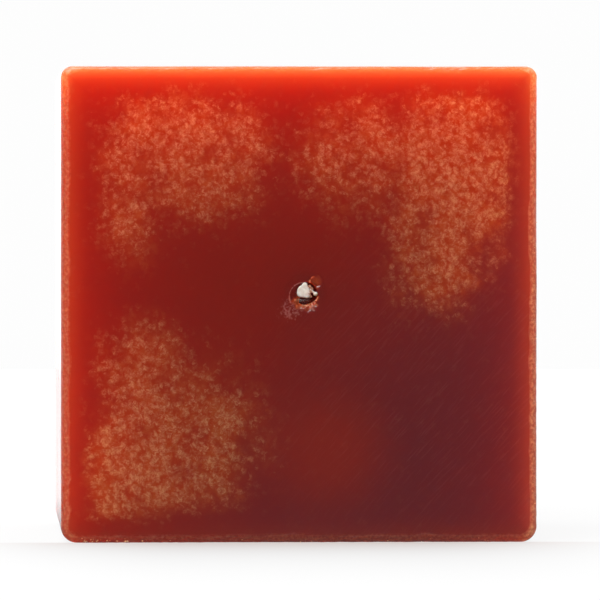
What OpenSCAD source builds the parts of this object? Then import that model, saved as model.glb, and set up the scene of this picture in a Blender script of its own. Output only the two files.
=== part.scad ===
// Cast block candle, lying on one of its sides with its base to the front (-Y).
// The wick runs along +Y through a tapered pin hole and stands out of the lighting end.
// Origin: the centre of the side that the block rests on. +Z is up. Millimetres.
// Lengths along the candle are measured from its base, and lay() puts the origin half-way.

/* [Wax block] */
// Width of the block, from side to side
block_w = 75; // [50:1:120]
// Height of the block as it lies
block_h = 75; // [50:1:120]
// Length of the block, from its base to its lighting end
block_l = 75; // [50:1:150]

/* [Edges of the block] */
// Radius of the two long edges at the top
upper_edge_r = 1.8; // [1.4:0.1:6]
// Radius of the two long edges beside the resting side
lower_edge_r = 2.5; // [1.4:0.1:6]
// Bevel that trimming left round the rim of the base
base_bevel = 1.1; // [0.2:0.1:1.6]
// Rounding round the lighting end, where the floor of the mould was
end_edge_r = 1.7; // [0.4:0.1:4]

/* [Pin hole] */
// How far the hole stands to the right of the middle of the block
hole_right = 1; // [-10:0.1:10]
// How far the hole stands above the middle of the block
hole_up = 1.7; // [-10:0.1:10]
// How much wider the hole is at the base than at the lighting end
hole_taper = 0.8; // [0.2:0.1:2]
// How far the chipped mouth flares out at the base
mouth_flare = 0.12; // [0.02:0.02:1]
// Depth of the chipped mouth
mouth_depth = 0.5; // [0.3:0.1:2]
// Room round the wick at the lighting end
wick_room = 0.1; // [0.1:0.02:0.6]

/* [Wick] */
// Diameter of one of the three plaited strands
strand_d = 0.84; // [0.5:0.02:1.4]
// Clearance between strands, and between the wick and the side it leans on
strand_gap = 0.04; // [0.02:0.01:0.1]
// Length of one full turn of the plait
plait_pitch = 8; // [6:0.5:14]
// Turn of the plait at the cut end in the base, in degrees
plait_start = 90; // [0:5:355]
// How far the wick stands out of the lighting end
wick_tail = 12; // [5:1:30]
// How far the cut end of the wick lies inside the base
wick_inset = 0.3; // [0.1:0.1:2]
// Direction in which the wick leans inside the hole at the base, in degrees from +X towards +Z
lean_angle = 135; // [0:5:355]
// How far the tip of the tail leans to the right
tail_lean = 1.2; // [0:0.1:4]
// How far the tip of the tail droops
tail_droop = 0.8; // [0:0.1:4]

/* [Frayed yarn] */
// Diameter of the yarn that has worked loose from the wick
yarn_d = 0.36; // [0.2:0.02:0.5]
// Diameter of the bead of wax on its end
bead_d = 0.68; // [0.4:0.02:0.8]
// How deep the loose yarn starts beside the wick
yarn_depth = 3; // [2:0.5:8]

/* [Hidden] */

WAX_COLOUR = "#7d1f1c";
COTTON_COLOUR = "#efe6d8";

$fn = 96;
cut_over = 1;

// The long edges are posts, and what is cut off their ends leaves a little of each radius flat.
end_flat = 0.1;
post_limit = min(upper_edge_r, lower_edge_r) - end_flat;
end_r = min(end_edge_r, post_limit);
bevel = min(base_bevel, post_limit);

// The plait: each strand swings across the wick once a turn and through its thickness twice.
// The two swings leave the strands one spacing apart wherever two of them pass.
strand_spacing = strand_d + strand_gap;
swing_across = strand_spacing;
swing_through = 0.63 * strand_spacing;
wick_r = swing_across + strand_d / 2;
wick_half_t = swing_through + strand_d / 2;

// The pin hole follows from the wick that has to pass its narrow end.
hole_end_d = 2 * (wick_r + wick_room);
hole_base_d = hole_end_d + hole_taper;
hole_x = hole_right;
hole_z = block_h / 2 + hole_up;

// At the base the wick leans on the wall of the hole; at the lighting end it is in the middle.
lean = hole_base_d / 2 - wick_r - strand_gap;
lean_x = lean * cos(lean_angle);
lean_z = lean * sin(lean_angle);

// How finely the strands and the yarn are drawn
tube_sides = 8;
rings_per_turn = 16;
bend_steps = 6;
bead_steps = 6;

// Moves a piece that is drawn from its base so that the middle of its length is at the origin.
module lay() {
    translate([0, -block_l / 2, 0]) children();
}

// A half of the block's lengthwise section, r wide: the bevel at the base, the rounding at the far end.
module edge_section(r) {
    polygon([[0, 0], [r - bevel, 0], [r, bevel], [r, block_l - end_r], [0, block_l - end_r]]);
    translate([0, block_l - end_r]) square([r - end_r, end_r]);
    intersection() {
        translate([r - end_r, block_l - end_r]) circle(r = end_r);
        translate([0, block_l - end_r]) square([r, end_r]);
    }
}

// A whole section across the block, width wide: [x, y] in the sheet is across and along the block.
module full_section(width) {
    edge_section(width / 2);
    mirror([1, 0]) edge_section(width / 2);
}

// The post that rounds one long edge, standing along +Y.
module edge_post(x, z, r) {
    translate([x, 0, z]) rotate([-90, 0, 0]) rotate_extrude() edge_section(r);
}

// Upright slab across the full width, between two heights.
module side_slab(z_low, z_high) {
    translate([0, 0, z_low]) linear_extrude(z_high - z_low) full_section(block_w);
}

// Slab over half the height, reaching the top or the bottom side, between the posts of radius r.
module level_slab(top, r) {
    reach = block_w / 2 - r;
    translate([-reach, 0, block_h / 2])
        rotate([0, 90, 0])
            linear_extrude(2 * reach)
                mirror([top ? 1 : 0, 0]) edge_section(block_h / 2);
}

module block_solid() {
    upper_x = block_w / 2 - upper_edge_r;
    lower_x = block_w / 2 - lower_edge_r;
    side_slab(lower_edge_r, block_h - upper_edge_r);
    level_slab(true, upper_edge_r);
    level_slab(false, lower_edge_r);
    for (side = [-1, 1]) {
        edge_post(side * upper_x, block_h - upper_edge_r, upper_edge_r);
        edge_post(side * lower_x, lower_edge_r, lower_edge_r);
    }
}

// The tapered hole that the wick pin left, with its chipped mouth at the base.
module pin_hole() {
    taper = (hole_base_d - hole_end_d) / 2 / block_l;
    translate([hole_x, 0, hole_z]) rotate([-90, 0, 0]) {
        translate([0, 0, -cut_over])
            cylinder(
                h = block_l + 2 * cut_over,
                r1 = hole_base_d / 2 + taper * cut_over,
                r2 = hole_end_d / 2 - taper * cut_over
            );
        translate([0, 0, -mouth_depth])
            cylinder(
                h = 2 * mouth_depth,
                r1 = hole_base_d / 2 + 2 * mouth_flare,
                r2 = hole_base_d / 2
            );
    }
}

module wax_body() {
    color(WAX_COLOUR) lay() difference() {
        block_solid();
        pin_hole();
    }
}

// Middle of the wick at a distance y from the base.
function wick_middle(y) =
    y <= block_l
    ? [hole_x + lean_x * (1 - y / block_l), y, hole_z + lean_z * (1 - y / block_l)]
    : [hole_x + tail_lean * pow((y - block_l) / wick_tail, 2), y,
       hole_z - tail_droop * pow((y - block_l) / wick_tail, 2)];

// Middle of one strand there; turn is 0, 120 or 240 degrees.
function strand_middle(y, turn) =
    let (swing = plait_start + 360 * (y - wick_inset) / plait_pitch + turn)
    wick_middle(y) + [swing_through * sin(2 * swing), 0, swing_across * sin(swing)];

// A ring of points round a middle point, in the plane of the two unit vectors u and v.
function ring(middle, r, u, v, sides) =
    [for (j = [0:sides - 1]) middle + r * (cos(360 * j / sides) * u + sin(360 * j / sides) * v)];

// A closed skin over rings of points, which all have the same number of sides.
module skin(rings) {
    sides = len(rings[0]);
    last = (len(rings) - 1) * sides;
    walls = [
        for (i = [0:len(rings) - 2], j = [0:sides - 1])
            let (a = i * sides + j, b = i * sides + (j + 1) % sides)
            for (face = [[a, b, a + sides], [b, b + sides, a + sides]]) face
    ];
    near_end = [for (j = [1:sides - 2]) [0, j + 1, j]];
    far_end = [for (j = [1:sides - 2]) [last, last + j, last + j + 1]];
    polyhedron(points = [for (r = rings) each r], faces = concat(walls, near_end, far_end));
}

module wick_strand(turn) {
    length = block_l + wick_tail - wick_inset;
    steps = ceil(length / plait_pitch * rings_per_turn);
    color(COTTON_COLOUR) lay() skin([
        for (i = [0:steps])
            ring(strand_middle(wick_inset + length * i / steps, turn), strand_d / 2,
                 [1, 0, 0], [0, 0, 1], tube_sides)
    ]);
}

module wick_strand_1() { wick_strand(0); }

module wick_strand_2() { wick_strand(120); }

module wick_strand_3() { wick_strand(240); }

// The loose yarn comes up beside the wick, bends over the hollow of the hole and ends in a bead.
module frayed_yarn() {
    bead_r = bead_d / 2;
    start = [lean_x + wick_half_t + yarn_d / 2 + strand_gap, 0, lean_z + swing_across / 2];
    bead = [hole_base_d / 2 - bead_r - strand_gap, 0, 0];
    reach = norm(bead - start);
    across = (bead - start) / reach;
    side = cross(across, [0, 1, 0]);
    bend_r = reach / 2;
    bead_y = wick_inset + bead_r;
    neck = asin(yarn_d / bead_d);
    rings = concat(
        [[start + [0, yarn_depth, 0], yarn_d / 2, [0, -1, 0]]],
        [
            for (i = [0:bend_steps])
                let (turn = 90 * i / bend_steps, way = sin(turn) * across - cos(turn) * [0, 1, 0])
                [start + bend_r * (1 - cos(turn)) * across
                 + [0, bead_y + bend_r * (1 - sin(turn)), 0], yarn_d / 2, way]
        ],
        [
            for (i = [0:bead_steps])
                let (turn = neck + (170 - neck) * i / bead_steps)
                [start + (reach - bead_r * cos(turn)) * across + [0, bead_y, 0],
                 bead_r * sin(turn), across]
        ]
    );
    color(COTTON_COLOUR) lay() translate([hole_x, 0, hole_z])
        skin([for (r = rings) ring(r[0], r[1], side, cross(side, r[2]), tube_sides)]);
}

wax_body();
wick_strand_1();
wick_strand_2();
wick_strand_3();
frayed_yarn();
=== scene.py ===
"""Scene for a cast cube candle that lies on one side with its base to the front.

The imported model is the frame. Fields that end in _mm are millimetres and are turned into
metres where a mesh is made. +Y runs along the wick, from the base to the lighting end.
"""

import logging
import math
import random
from dataclasses import dataclass, field
from enum import Enum
from typing import Any, Sequence

import bpy
import numpy as np
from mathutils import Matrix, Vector, noise


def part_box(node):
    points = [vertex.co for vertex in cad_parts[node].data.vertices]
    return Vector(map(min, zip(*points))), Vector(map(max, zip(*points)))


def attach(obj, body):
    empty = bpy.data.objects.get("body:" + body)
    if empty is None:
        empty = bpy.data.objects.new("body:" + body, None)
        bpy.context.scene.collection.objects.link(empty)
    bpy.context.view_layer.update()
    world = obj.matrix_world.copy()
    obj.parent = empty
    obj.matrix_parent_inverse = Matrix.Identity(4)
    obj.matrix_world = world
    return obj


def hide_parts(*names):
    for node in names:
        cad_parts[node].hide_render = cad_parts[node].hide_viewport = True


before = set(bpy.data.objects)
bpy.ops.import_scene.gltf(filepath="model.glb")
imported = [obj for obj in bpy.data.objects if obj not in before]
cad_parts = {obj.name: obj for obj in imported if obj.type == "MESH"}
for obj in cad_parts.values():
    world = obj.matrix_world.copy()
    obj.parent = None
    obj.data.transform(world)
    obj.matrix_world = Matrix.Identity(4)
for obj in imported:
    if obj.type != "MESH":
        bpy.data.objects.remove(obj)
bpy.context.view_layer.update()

MM = 0.001
TURN = 2.0 * math.pi
LOG = logging.getLogger("cube_candle")


class Slot(Enum):
    """Names of the material slots."""

    WAX = "wax"
    COTTON = "cotton"


class Layer(Enum):
    """Names of the mesh attributes that materials read."""

    WEAR = "wear"
    ALONG = "along"
    AROUND = "around"


def linear(hex_colour: str) -> tuple[float, float, float, float]:
    """Turn an sRGB hex colour into linear RGBA.

    Args:
        hex_colour: Six hex digits, with or without a leading #.

    Returns:
        Linear red, green, blue and an alpha of 1.
    """
    digits = hex_colour.lstrip("#")
    parts = [int(digits[i:i + 2], 16) / 255.0 for i in (0, 2, 4)]
    red, green, blue = (c / 12.92 if c <= 0.04045 else ((c + 0.055) / 1.055) ** 2.4 for c in parts)
    return red, green, blue, 1.0


def socket(sockets: Any, key: int | str) -> Any:
    """Find a socket by index, identifier or name.

    Args:
        sockets: A node's inputs or outputs.
        key: Index, identifier or name of the socket.

    Returns:
        The socket.
    """
    if isinstance(key, int):
        return sockets[key]
    for candidate in sockets:
        if candidate.identifier == key and candidate.enabled:
            return candidate
    return next(c for c in sockets if c.name == key and c.enabled)


def add_node(tree: Any, kind: str, inputs: dict[int | str, Any] | None = None, **settings: Any) -> Any:
    """Add a node with its settings, values and links.

    Args:
        tree: Node tree that gets the node.
        kind: Blender's type name of the node.
        inputs: Socket index, identifier or name against a value, an output socket, or a node
            whose first enabled output is linked.
        **settings: Properties of the node.

    Returns:
        The new node.
    """
    node = tree.nodes.new(kind)
    for name, value in settings.items():
        setattr(node, name, value)
    for key, value in (inputs or {}).items():
        target = socket(node.inputs, key)
        if isinstance(value, bpy.types.Node):
            value = next(out for out in value.outputs if out.enabled)
        if isinstance(value, bpy.types.NodeSocket):
            tree.links.new(value, target)
        else:
            target.default_value = value
    return node


def calculate(tree: Any, operation: str, *values: Any, clamp: bool = False) -> Any:
    """Add a node that calculates with numbers.

    Args:
        tree: Node tree.
        operation: What it does with them.
        *values: Numbers or sockets, in the order of its inputs.
        clamp: Whether the result is kept between 0 and 1.

    Returns:
        The new node.
    """
    return add_node(tree, "ShaderNodeMath", dict(enumerate(values)), operation=operation, use_clamp=clamp)


def remap(tree: Any, value: Any, source: tuple[Any, Any], target: tuple[Any, Any] = (0.0, 1.0),
          **settings: Any) -> Any:
    """Add a node that carries one range of values over to another.

    Args:
        tree: Node tree.
        value: Number or socket to carry over.
        source: Ends of its range.
        target: Ends of the new range.
        **settings: Properties of the node.

    Returns:
        The new node.
    """
    inputs = {"Value": value, "From Min": source[0], "From Max": source[1]}
    inputs.update({"To Min": target[0], "To Max": target[1]})
    return add_node(tree, "ShaderNodeMapRange", inputs, **settings)


def mesh_object(name: str, verts: np.ndarray, faces: Sequence[Sequence[int]]) -> bpy.types.Object:
    """Make a smooth-shaded mesh object at the origin.

    Args:
        name: Name of the object.
        verts: Vertex places in metres, one row each.
        faces: Vertex indices of each face.

    Returns:
        The new object, linked to the scene.
    """
    mesh = bpy.data.meshes.new(name)
    mesh.from_pydata([tuple(v) for v in verts], [], [tuple(int(i) for i in f) for f in faces])
    mesh.shade_smooth()
    mesh.update()
    made = bpy.data.objects.new(name, mesh)
    bpy.context.collection.objects.link(made)
    return made


def fade(value: np.ndarray, start: float, end: float) -> np.ndarray:
    """Smooth step from 0 at start to 1 at end, which may be the smaller of the two.

    Args:
        value: Values to map.
        start: Where the result is 0.
        end: Where the result is 1.

    Returns:
        The smooth step of each value.
    """
    t = np.clip((value - start) / (end - start), 0.0, 1.0)
    return t * t * (3.0 - 2.0 * t)


def ripple(points: np.ndarray, grain: float, seed: float) -> np.ndarray:
    """Smooth noise from about -1 to 1 at each point.

    Args:
        points: Places, one row each, in the unit of grain.
        grain: Size of the ripples.
        seed: Shift that gives another pattern.

    Returns:
        One value for each point.
    """
    shift = Vector((seed * 17.3, seed * 5.9, seed * 11.1))
    return np.array([noise.noise(Vector(p) / grain + shift) for p in points.tolist()])


# ---------------------------------------------------------------------------------------------
# Finishes
# ---------------------------------------------------------------------------------------------


@dataclass(frozen=True)
class CrystalPatch:
    """A cloud of wax crystals near the base.

    Attributes:
        right_mm: Its middle, to the right of the middle of the block.
        up_mm: Its middle, above the middle of the block.
        half_w_mm: Half its width.
        half_h_mm: Half its height.
        crowd: How many of the crystals are there, from 0 to 1.
    """

    right_mm: float
    up_mm: float
    half_w_mm: float
    half_h_mm: float
    crowd: float


@dataclass(frozen=True)
class CrystalLayer:
    """One size of crystal at one depth under the skin.

    Attributes:
        pitch_mm: Distance between neighbours.
        soft: 0 for a crisp flake just under the skin, 1 for a blurred one deep down.
        strength: How strongly it shows.
    """

    pitch_mm: float
    soft: float
    strength: float


@dataclass(frozen=True)
class MottledWax:
    """Paraffin wax, dyed deep red and cast in a smooth mould.

    The dye swallows green and blue within a few millimetres and lets red through, so edges that
    light reaches glow orange and the middle stays a dark red-brown. The colour also has painted
    light: an orange glow along the edges and the upper rim, strongest towards the top, and painted
    shade with a bluish painted reflection haze towards the lower right corner. Mottling oil grew
    snowflake crystals that lie under the glossy skin in clouds. The rim is rubbed and has a pale bloom.

    Attributes:
        name: Name of the material.
        core: Wax in the middle of the base.
        deep: Painted shade towards one lower corner, in a darker bluish red whose tint is a painted
            reflection haze.
        edge: Painted glow along the edges, for light that reaches the wax through them.
        top_rim_glow: Painted light in the wax next to the upper rim, where the top light shines through.
        glowing: Warm spot low on the base.
        halo: Wax between crystals.
        feather: Crystals deep down.
        crystal: Crystals just under the skin.
        bloom: Rubbed rim.
        chipped: Fresh wax in the chipped lip.
        crumb: Crumbs that lie there.
        dust: Dust and fine scuffs.
        ior: Refractive index.
        roughness: Roughness of the cast skin.
        scatter_mm: How far red, green and blue light travels inside.
        margin_mm: Band along the edges that stays free of crystals.
        patch_depth_mm: How deep each patch reaches into the block.
        layers: The crystals, from the deepest to the nearest.
        glow: Place and size of the warm spot.
        patches: Where the crystals are.
    """

    name: str = "wax_cast_mottled_red"
    core: str = "#8c1e14"
    # Painted shade and painted reflection haze towards the lower right corner.
    deep: str = "#6e262b"
    # Painted glow along the edges, stronger towards the top.
    edge: str = "#a8381c"
    # Painted light along the upper rim.
    top_rim_glow: str = "#c8683a"
    glowing: str = "#982a18"
    halo: str = "#a03c14"
    feather: str = "#a85426"
    crystal: str = "#c08c5e"
    bloom: str = "#d08468"
    chipped: str = "#cc5a26"
    crumb: str = "#ffc490"
    dust: str = "#cc7c72"
    ior: float = 1.44
    roughness: float = 0.14
    scatter_mm: tuple[float, float, float] = (100.0, 35.0, 18.0)
    margin_mm: float = 2.4
    patch_depth_mm: float = 16.0
    layers: tuple[CrystalLayer, ...] = (
        CrystalLayer(2.2, 1.0, 0.55),
        CrystalLayer(1.5, 0.7, 0.7),
        CrystalLayer(1.25, 0.1, 1.0),
        CrystalLayer(1.0, 0.0, 1.0),
    )
    glow: CrystalPatch = CrystalPatch(4.5, -23.0, 9.5, 9.0, 0.6)
    patches: tuple[CrystalPatch, ...] = (
        CrystalPatch(-18.0, 24.0, 15.0, 11.5, 0.95),
        CrystalPatch(-27.0, 14.0, 6.0, 9.0, 0.6),
        CrystalPatch(24.5, 20.0, 11.5, 16.0, 1.15),
        CrystalPatch(9.5, 23.0, 11.0, 10.0, 0.8),
        CrystalPatch(21.5, 6.0, 8.5, 9.0, 0.7),
        CrystalPatch(-26.0, -25.5, 10.0, 11.5, 1.15),
        CrystalPatch(-18.5, -21.0, 13.5, 14.0, 0.8),
        CrystalPatch(-25.0, -10.0, 8.0, 8.5, 0.75),
    )

    def make(self, block: "WaxBlock") -> bpy.types.Material:
        """Build the material.

        Args:
            block: The block, whose middle and sides the crystals and the glow are placed from.

        Returns:
            The material.
        """
        material = bpy.data.materials.new(self.name)
        material.use_nodes = True
        tree = material.node_tree
        tree.nodes.clear()
        place = add_node(tree, "ShaderNodeTexCoord").outputs["Object"]
        point = add_node(tree, "ShaderNodeVectorMath", {0: place, "Scale": 1.0 / MM}, operation="SCALE")
        wear = add_node(tree, "ShaderNodeAttribute", attribute_name=Layer.WEAR.value)
        worn = add_node(tree, "ShaderNodeSeparateColor", {0: wear.outputs["Color"]})
        away = self.from_edge(tree, point, block)
        cloud = self.cloud(tree, point, away, block)
        colour = self.colour(tree, point, away, cloud, worn, block)
        rough = self.roughness_map(tree, point, worn, block)
        shader = add_node(
            tree, "ShaderNodeBsdfPrincipled",
            {
                "Base Color": colour, "Roughness": rough, "IOR": self.ior,
                "Subsurface Weight": 1.0, "Subsurface Scale": MM,
                "Subsurface Radius": self.scatter_mm, "Normal": self.relief(tree, point, worn, block),
            },
            subsurface_method="RANDOM_WALK",
        )
        add_node(tree, "ShaderNodeOutputMaterial", {"Surface": shader})
        return material

    def from_edge(self, tree: Any, point: Any, block: "WaxBlock") -> Any:
        """Distance from the nearest edge of the block, along its surface.

        On the surface the distance from the nearest side is nothing, so the distance from the
        edge is the second smallest of the three.

        Args:
            tree: Node tree of the material.
            point: Node that gives the place in millimetres.
            block: The block.

        Returns:
            Node whose output is the distance in millimetres.
        """
        half = tuple((block.high_mm - block.low_mm) / 2.0)
        middle = tuple((block.high_mm + block.low_mm) / 2.0)
        centred = add_node(tree, "ShaderNodeVectorMath", {0: point, 1: middle}, operation="SUBTRACT")
        folded = add_node(tree, "ShaderNodeVectorMath", {0: centred}, operation="ABSOLUTE")
        inside = add_node(tree, "ShaderNodeVectorMath", {0: half, 1: folded}, operation="SUBTRACT")
        split = add_node(tree, "ShaderNodeSeparateXYZ", {0: inside})
        x, y, z = split.outputs[0], split.outputs[1], split.outputs[2]
        less = calculate(tree, "MINIMUM", x, y)
        more = calculate(tree, "MAXIMUM", x, y)
        other = calculate(tree, "MINIMUM", more, z)
        return calculate(tree, "MAXIMUM", less, other)

    def cloud(self, tree: Any, point: Any, away: Any, block: "WaxBlock") -> Any:
        """Density of the crystals: ragged clouds, each an ellipsoid that starts at the base.

        Args:
            tree: Node tree of the material.
            point: Node that gives the place in millimetres.
            away: Node that gives the distance from the edge.
            block: The block that the clouds are placed from.

        Returns:
            Node whose output is the density, from 0 to about 1.
        """
        wander = add_node(
            tree, "ShaderNodeTexNoise", {"Vector": point, "Scale": 1.0 / 5.5, "Detail": 3.0},
        )
        total: Any = self.far_cloud(tree, point, block)
        for patch in self.patches:
            dense = self.ellipsoid(tree, point, patch, block)
            total = calculate(tree, "MAXIMUM", total, dense)
        uneven = remap(tree, wander.outputs[0], (0.33, 0.67), (0.55, 1.25))
        ragged = calculate(tree, "MULTIPLY", total, uneven)
        clear = remap(tree, away, (self.margin_mm - 0.4, self.margin_mm + 3.4))
        return calculate(tree, "MULTIPLY", ragged, clear, clamp=True)

    def ellipsoid(self, tree: Any, point: Any, patch: CrystalPatch, block: "WaxBlock") -> Any:
        """Density of one patch, which fades from its middle on the base.

        Args:
            tree: Node tree of the material.
            point: Node that gives the place in millimetres.
            patch: The patch.
            block: The block that the patch is placed from.

        Returns:
            Node whose output is the density.
        """
        middle = (patch.right_mm, block.low_mm[1], block.middle_z_mm + patch.up_mm)
        offset = add_node(tree, "ShaderNodeVectorMath", {0: point, 1: middle}, operation="SUBTRACT")
        shape = (patch.half_w_mm, self.patch_depth_mm, patch.half_h_mm)
        scaled = add_node(tree, "ShaderNodeVectorMath", {0: offset, 1: shape}, operation="DIVIDE")
        distance = add_node(tree, "ShaderNodeVectorMath", {0: scaled}, operation="LENGTH")
        return remap(
            tree, distance.outputs["Value"], (1.5, 0.2), (0.0, patch.crowd),
            interpolation_type="SMOOTHSTEP",
        )

    def far_cloud(self, tree: Any, point: Any, block: "WaxBlock") -> Any:
        """Clouds on the rest of the block, wherever broad noise is high.

        Args:
            tree: Node tree of the material.
            point: Node that gives the place in millimetres.
            block: The block that the clouds are placed from.

        Returns:
            Node whose output is their density.
        """
        broad = add_node(
            tree, "ShaderNodeTexNoise", {"Vector": point, "Scale": 1.0 / 26.0, "Detail": 2.0},
        )
        dense = remap(tree, broad.outputs[0], (0.45, 0.68), interpolation_type="SMOOTHSTEP")
        behind = remap(
            tree, add_node(tree, "ShaderNodeSeparateXYZ", {0: point}).outputs["Y"],
            (block.low_mm[1] + 3.0, block.low_mm[1] + 12.0), interpolation_type="SMOOTHSTEP",
        )
        return calculate(tree, "MULTIPLY", dense, behind)

    def flakes(self, tree: Any, point: Any, cloud: Any, layer: CrystalLayer, shift: float) -> Any:
        """One layer of crystals: ragged tufts of threads, which thin out where the cloud is thin.

        Args:
            tree: Node tree of the material.
            point: Node that gives the place in millimetres.
            cloud: Node that gives the density.
            layer: Size and depth of the crystals.
            shift: How far the layer is moved, so that no two layers line up.

        Returns:
            Node whose output is how much crystal shows, from 0 to 1.
        """
        moved = add_node(
            tree, "ShaderNodeVectorMath", {0: point, 1: (7.7 * shift, 3.1 * shift, 5.3 * shift)},
        )
        # The cells are bent by noise, so that the tufts don't sit on a grid.
        bend = add_node(
            tree, "ShaderNodeTexNoise",
            {"Vector": moved, "Scale": 0.9 / layer.pitch_mm, "Detail": 1.0},
        )
        sway = 1.1 * layer.pitch_mm
        offset = add_node(
            tree, "ShaderNodeVectorMath", {0: bend.outputs["Color"], 1: (0.5, 0.5, 0.5)},
            operation="SUBTRACT",
        )
        bent = add_node(
            tree, "ShaderNodeVectorMath", {0: offset, 1: (sway, sway, sway), 2: moved},
            operation="MULTIPLY_ADD",
        )
        cells = add_node(
            tree, "ShaderNodeTexVoronoi", {"Vector": bent, "Scale": 1.0 / layer.pitch_mm},
        )
        # A tuft fills the middle of its cell and has a ragged edge.
        ragged = add_node(
            tree, "ShaderNodeTexNoise",
            {"Vector": moved, "Scale": 2.4 / layer.pitch_mm, "Detail": 2.5, "Roughness": 0.6,
             "Distortion": 0.4},
        )
        away = calculate(tree, "MULTIPLY_ADD", ragged.outputs[0], 1.3, cells.outputs["Distance"])
        tuft = remap(tree, away, (1.36, 0.72 - 0.1 * layer.soft), interpolation_type="SMOOTHSTEP")
        # Inside a tuft, short curls follow the ridges of finer noise.
        curl = add_node(
            tree, "ShaderNodeTexNoise",
            {"Vector": moved, "Scale": 1.5 / layer.pitch_mm, "Detail": 1.5, "Distortion": 1.0},
        )
        off_ridge = calculate(tree, "SUBTRACT", curl.outputs[0], 0.5)
        ridge = remap(
            tree, calculate(tree, "ABSOLUTE", off_ridge), (0.09, 0.0), (0.25 + 0.5 * layer.soft, 1.0),
            interpolation_type="SMOOTHSTEP",
        )
        furry = calculate(tree, "MULTIPLY", tuft, ridge)
        # Where the cloud is thin, fewer cells have a tuft, and it is fainter.
        chance = add_node(tree, "ShaderNodeSeparateColor", {0: cells.outputs["Color"]})
        there = calculate(tree, "MULTIPLY_ADD", chance.outputs[0], -0.5, cloud)
        shows = remap(tree, there, (-0.1, 0.75), (0.0, layer.strength), interpolation_type="SMOOTHSTEP")
        return calculate(tree, "MULTIPLY", furry, shows, clamp=True)

    def blend(self, tree: Any, share: Any, under: Any, over: str) -> Any:
        """Lay a colour over another one.

        Args:
            tree: Node tree of the material.
            share: Node or socket that gives how much of it shows.
            under: Node or colour below.
            over: Colour on top, in hex.

        Returns:
            The mixing node.
        """
        return add_node(
            tree, "ShaderNodeMix",
            {"Factor_Float": share, "A_Color": under, "B_Color": linear(over)}, data_type="RGBA",
        )

    def colour(self, tree: Any, point: Any, away: Any, cloud: Any, worn: Any,
               block: "WaxBlock") -> Any:
        """Colour of the wax, from the core to the crystals and the worn rim, with painted shade towards the
        lower right and a painted glow along the edges and the upper rim.

        Args:
            tree: Node tree of the material.
            point: Node that gives the place in millimetres.
            away: Node that gives the distance from the edge.
            cloud: Node that gives the density of the crystals.
            worn: Node that splits the wear into rim, lip and scuff.
            block: The block.

        Returns:
            The last colour node.
        """
        # Painted shade: the core darkens towards the lower right corner into a bluish red, which also paints
        # a reflection haze.
        shade_slope = add_node(
            tree, "ShaderNodeVectorMath", {0: point, 1: (0.75, 0.0, -0.66)}, operation="DOT_PRODUCT",
        )
        painted_shade = remap(tree, shade_slope.outputs["Value"], (-32.0, 8.0), interpolation_type="SMOOTHSTEP")
        base = self.blend(tree, painted_shade, linear(self.core), self.deep)
        base = self.blend(tree, self.ellipsoid(tree, point, self.glow, block), base, self.glowing)
        # Painted glow: orange along every edge, stronger towards the top, where the light falls from above.
        glow = remap(tree, away, (5.2, 0.0), (0.0, 0.55), interpolation_type="SMOOTHERSTEP")
        height = add_node(tree, "ShaderNodeSeparateXYZ", {0: point}).outputs["Z"]
        lit_from_above = remap(tree, height, (block.low_mm[2], block.high_mm[2]), (0.35, 1.0))
        lit = calculate(tree, "MULTIPLY", glow, lit_from_above)
        edged = self.blend(tree, lit, base, self.edge)
        warmth = remap(tree, cloud, (0.0, 1.0), (0.0, 0.9), interpolation_type="SMOOTHSTEP")
        tone: Any = self.blend(tree, warmth, edged, self.halo)
        # Painted light: a pale orange band along the upper rim, fading away downwards.
        brink = remap(tree, away, (2.2, 0.1), (0.0, 0.42), interpolation_type="SMOOTHSTEP")
        thin = remap(tree, height, (block.high_mm[2] - 9.0, block.high_mm[2] - 2.0), (0.12, 1.0))
        brim = calculate(tree, "MULTIPLY", brink, thin)
        tone = self.blend(tree, brim, tone, self.top_rim_glow)
        for number, layer in enumerate(self.layers):
            seen = self.flakes(tree, point, cloud, layer, 1.0 + number)
            tone = self.blend(tree, seen, tone, self.feather if layer.soft > 0.4 else self.crystal)
        specks = add_node(tree, "ShaderNodeTexVoronoi", {"Vector": point, "Scale": 1.0 / 1.9})
        lone = add_node(tree, "ShaderNodeSeparateColor", {0: specks.outputs["Color"]})
        rare = calculate(tree, "GREATER_THAN", lone.outputs[1], 0.82)
        dot = remap(tree, specks.outputs["Distance"], (0.08, 0.03), (0.0, 0.45))
        dusty = calculate(tree, "MULTIPLY", dot, rare)
        tone = self.blend(tree, dusty, tone, self.dust)
        grit = add_node(tree, "ShaderNodeTexNoise", {"Vector": point, "Scale": 2.2, "Detail": 4.0})
        patchy = remap(tree, grit.outputs[0], (0.42, 0.66), (0.1, 0.9))
        rim = calculate(tree, "MULTIPLY", patchy, worn.outputs[0])
        tone = self.blend(tree, rim, tone, self.bloom)
        fresh = remap(tree, worn.outputs[1], (0.0, 0.5))
        tone = self.blend(tree, fresh, tone, self.chipped)
        loose = remap(tree, worn.outputs[1], (0.5, 0.95))
        tone = self.blend(tree, loose, tone, self.crumb)
        return self.blend(tree, self.scuffs(tree, point, worn, block), tone, self.dust)

    def scuffs(self, tree: Any, point: Any, worn: Any, block: "WaxBlock") -> Any:
        """Pale scuffs by the hole, and fine slanting scratches where the skin is rubbed.

        Args:
            tree: Node tree of the material.
            point: Node that gives the place in millimetres.
            worn: Node that splits the wear into rim, lip and scuff.
            block: The block.

        Returns:
            Node whose output is how much of the pale tone shows.
        """
        grain = add_node(tree, "ShaderNodeTexNoise", {"Vector": point, "Scale": 3.2, "Detail": 4.0})
        open_grain = calculate(tree, "MULTIPLY_ADD", worn.outputs[2], 0.42, grain.outputs[0])
        broken = remap(tree, open_grain, (0.66, 0.86), (0.0, 0.9))
        near = calculate(tree, "MULTIPLY", broken, worn.outputs[2])
        lines = remap(tree, self.scratches(tree, point), (0.54, 0.74), (0.0, 0.07))
        fine = calculate(tree, "MULTIPLY", lines, self.rubbed(tree, point, block))
        return calculate(tree, "ADD", near, fine, clamp=True)

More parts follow.
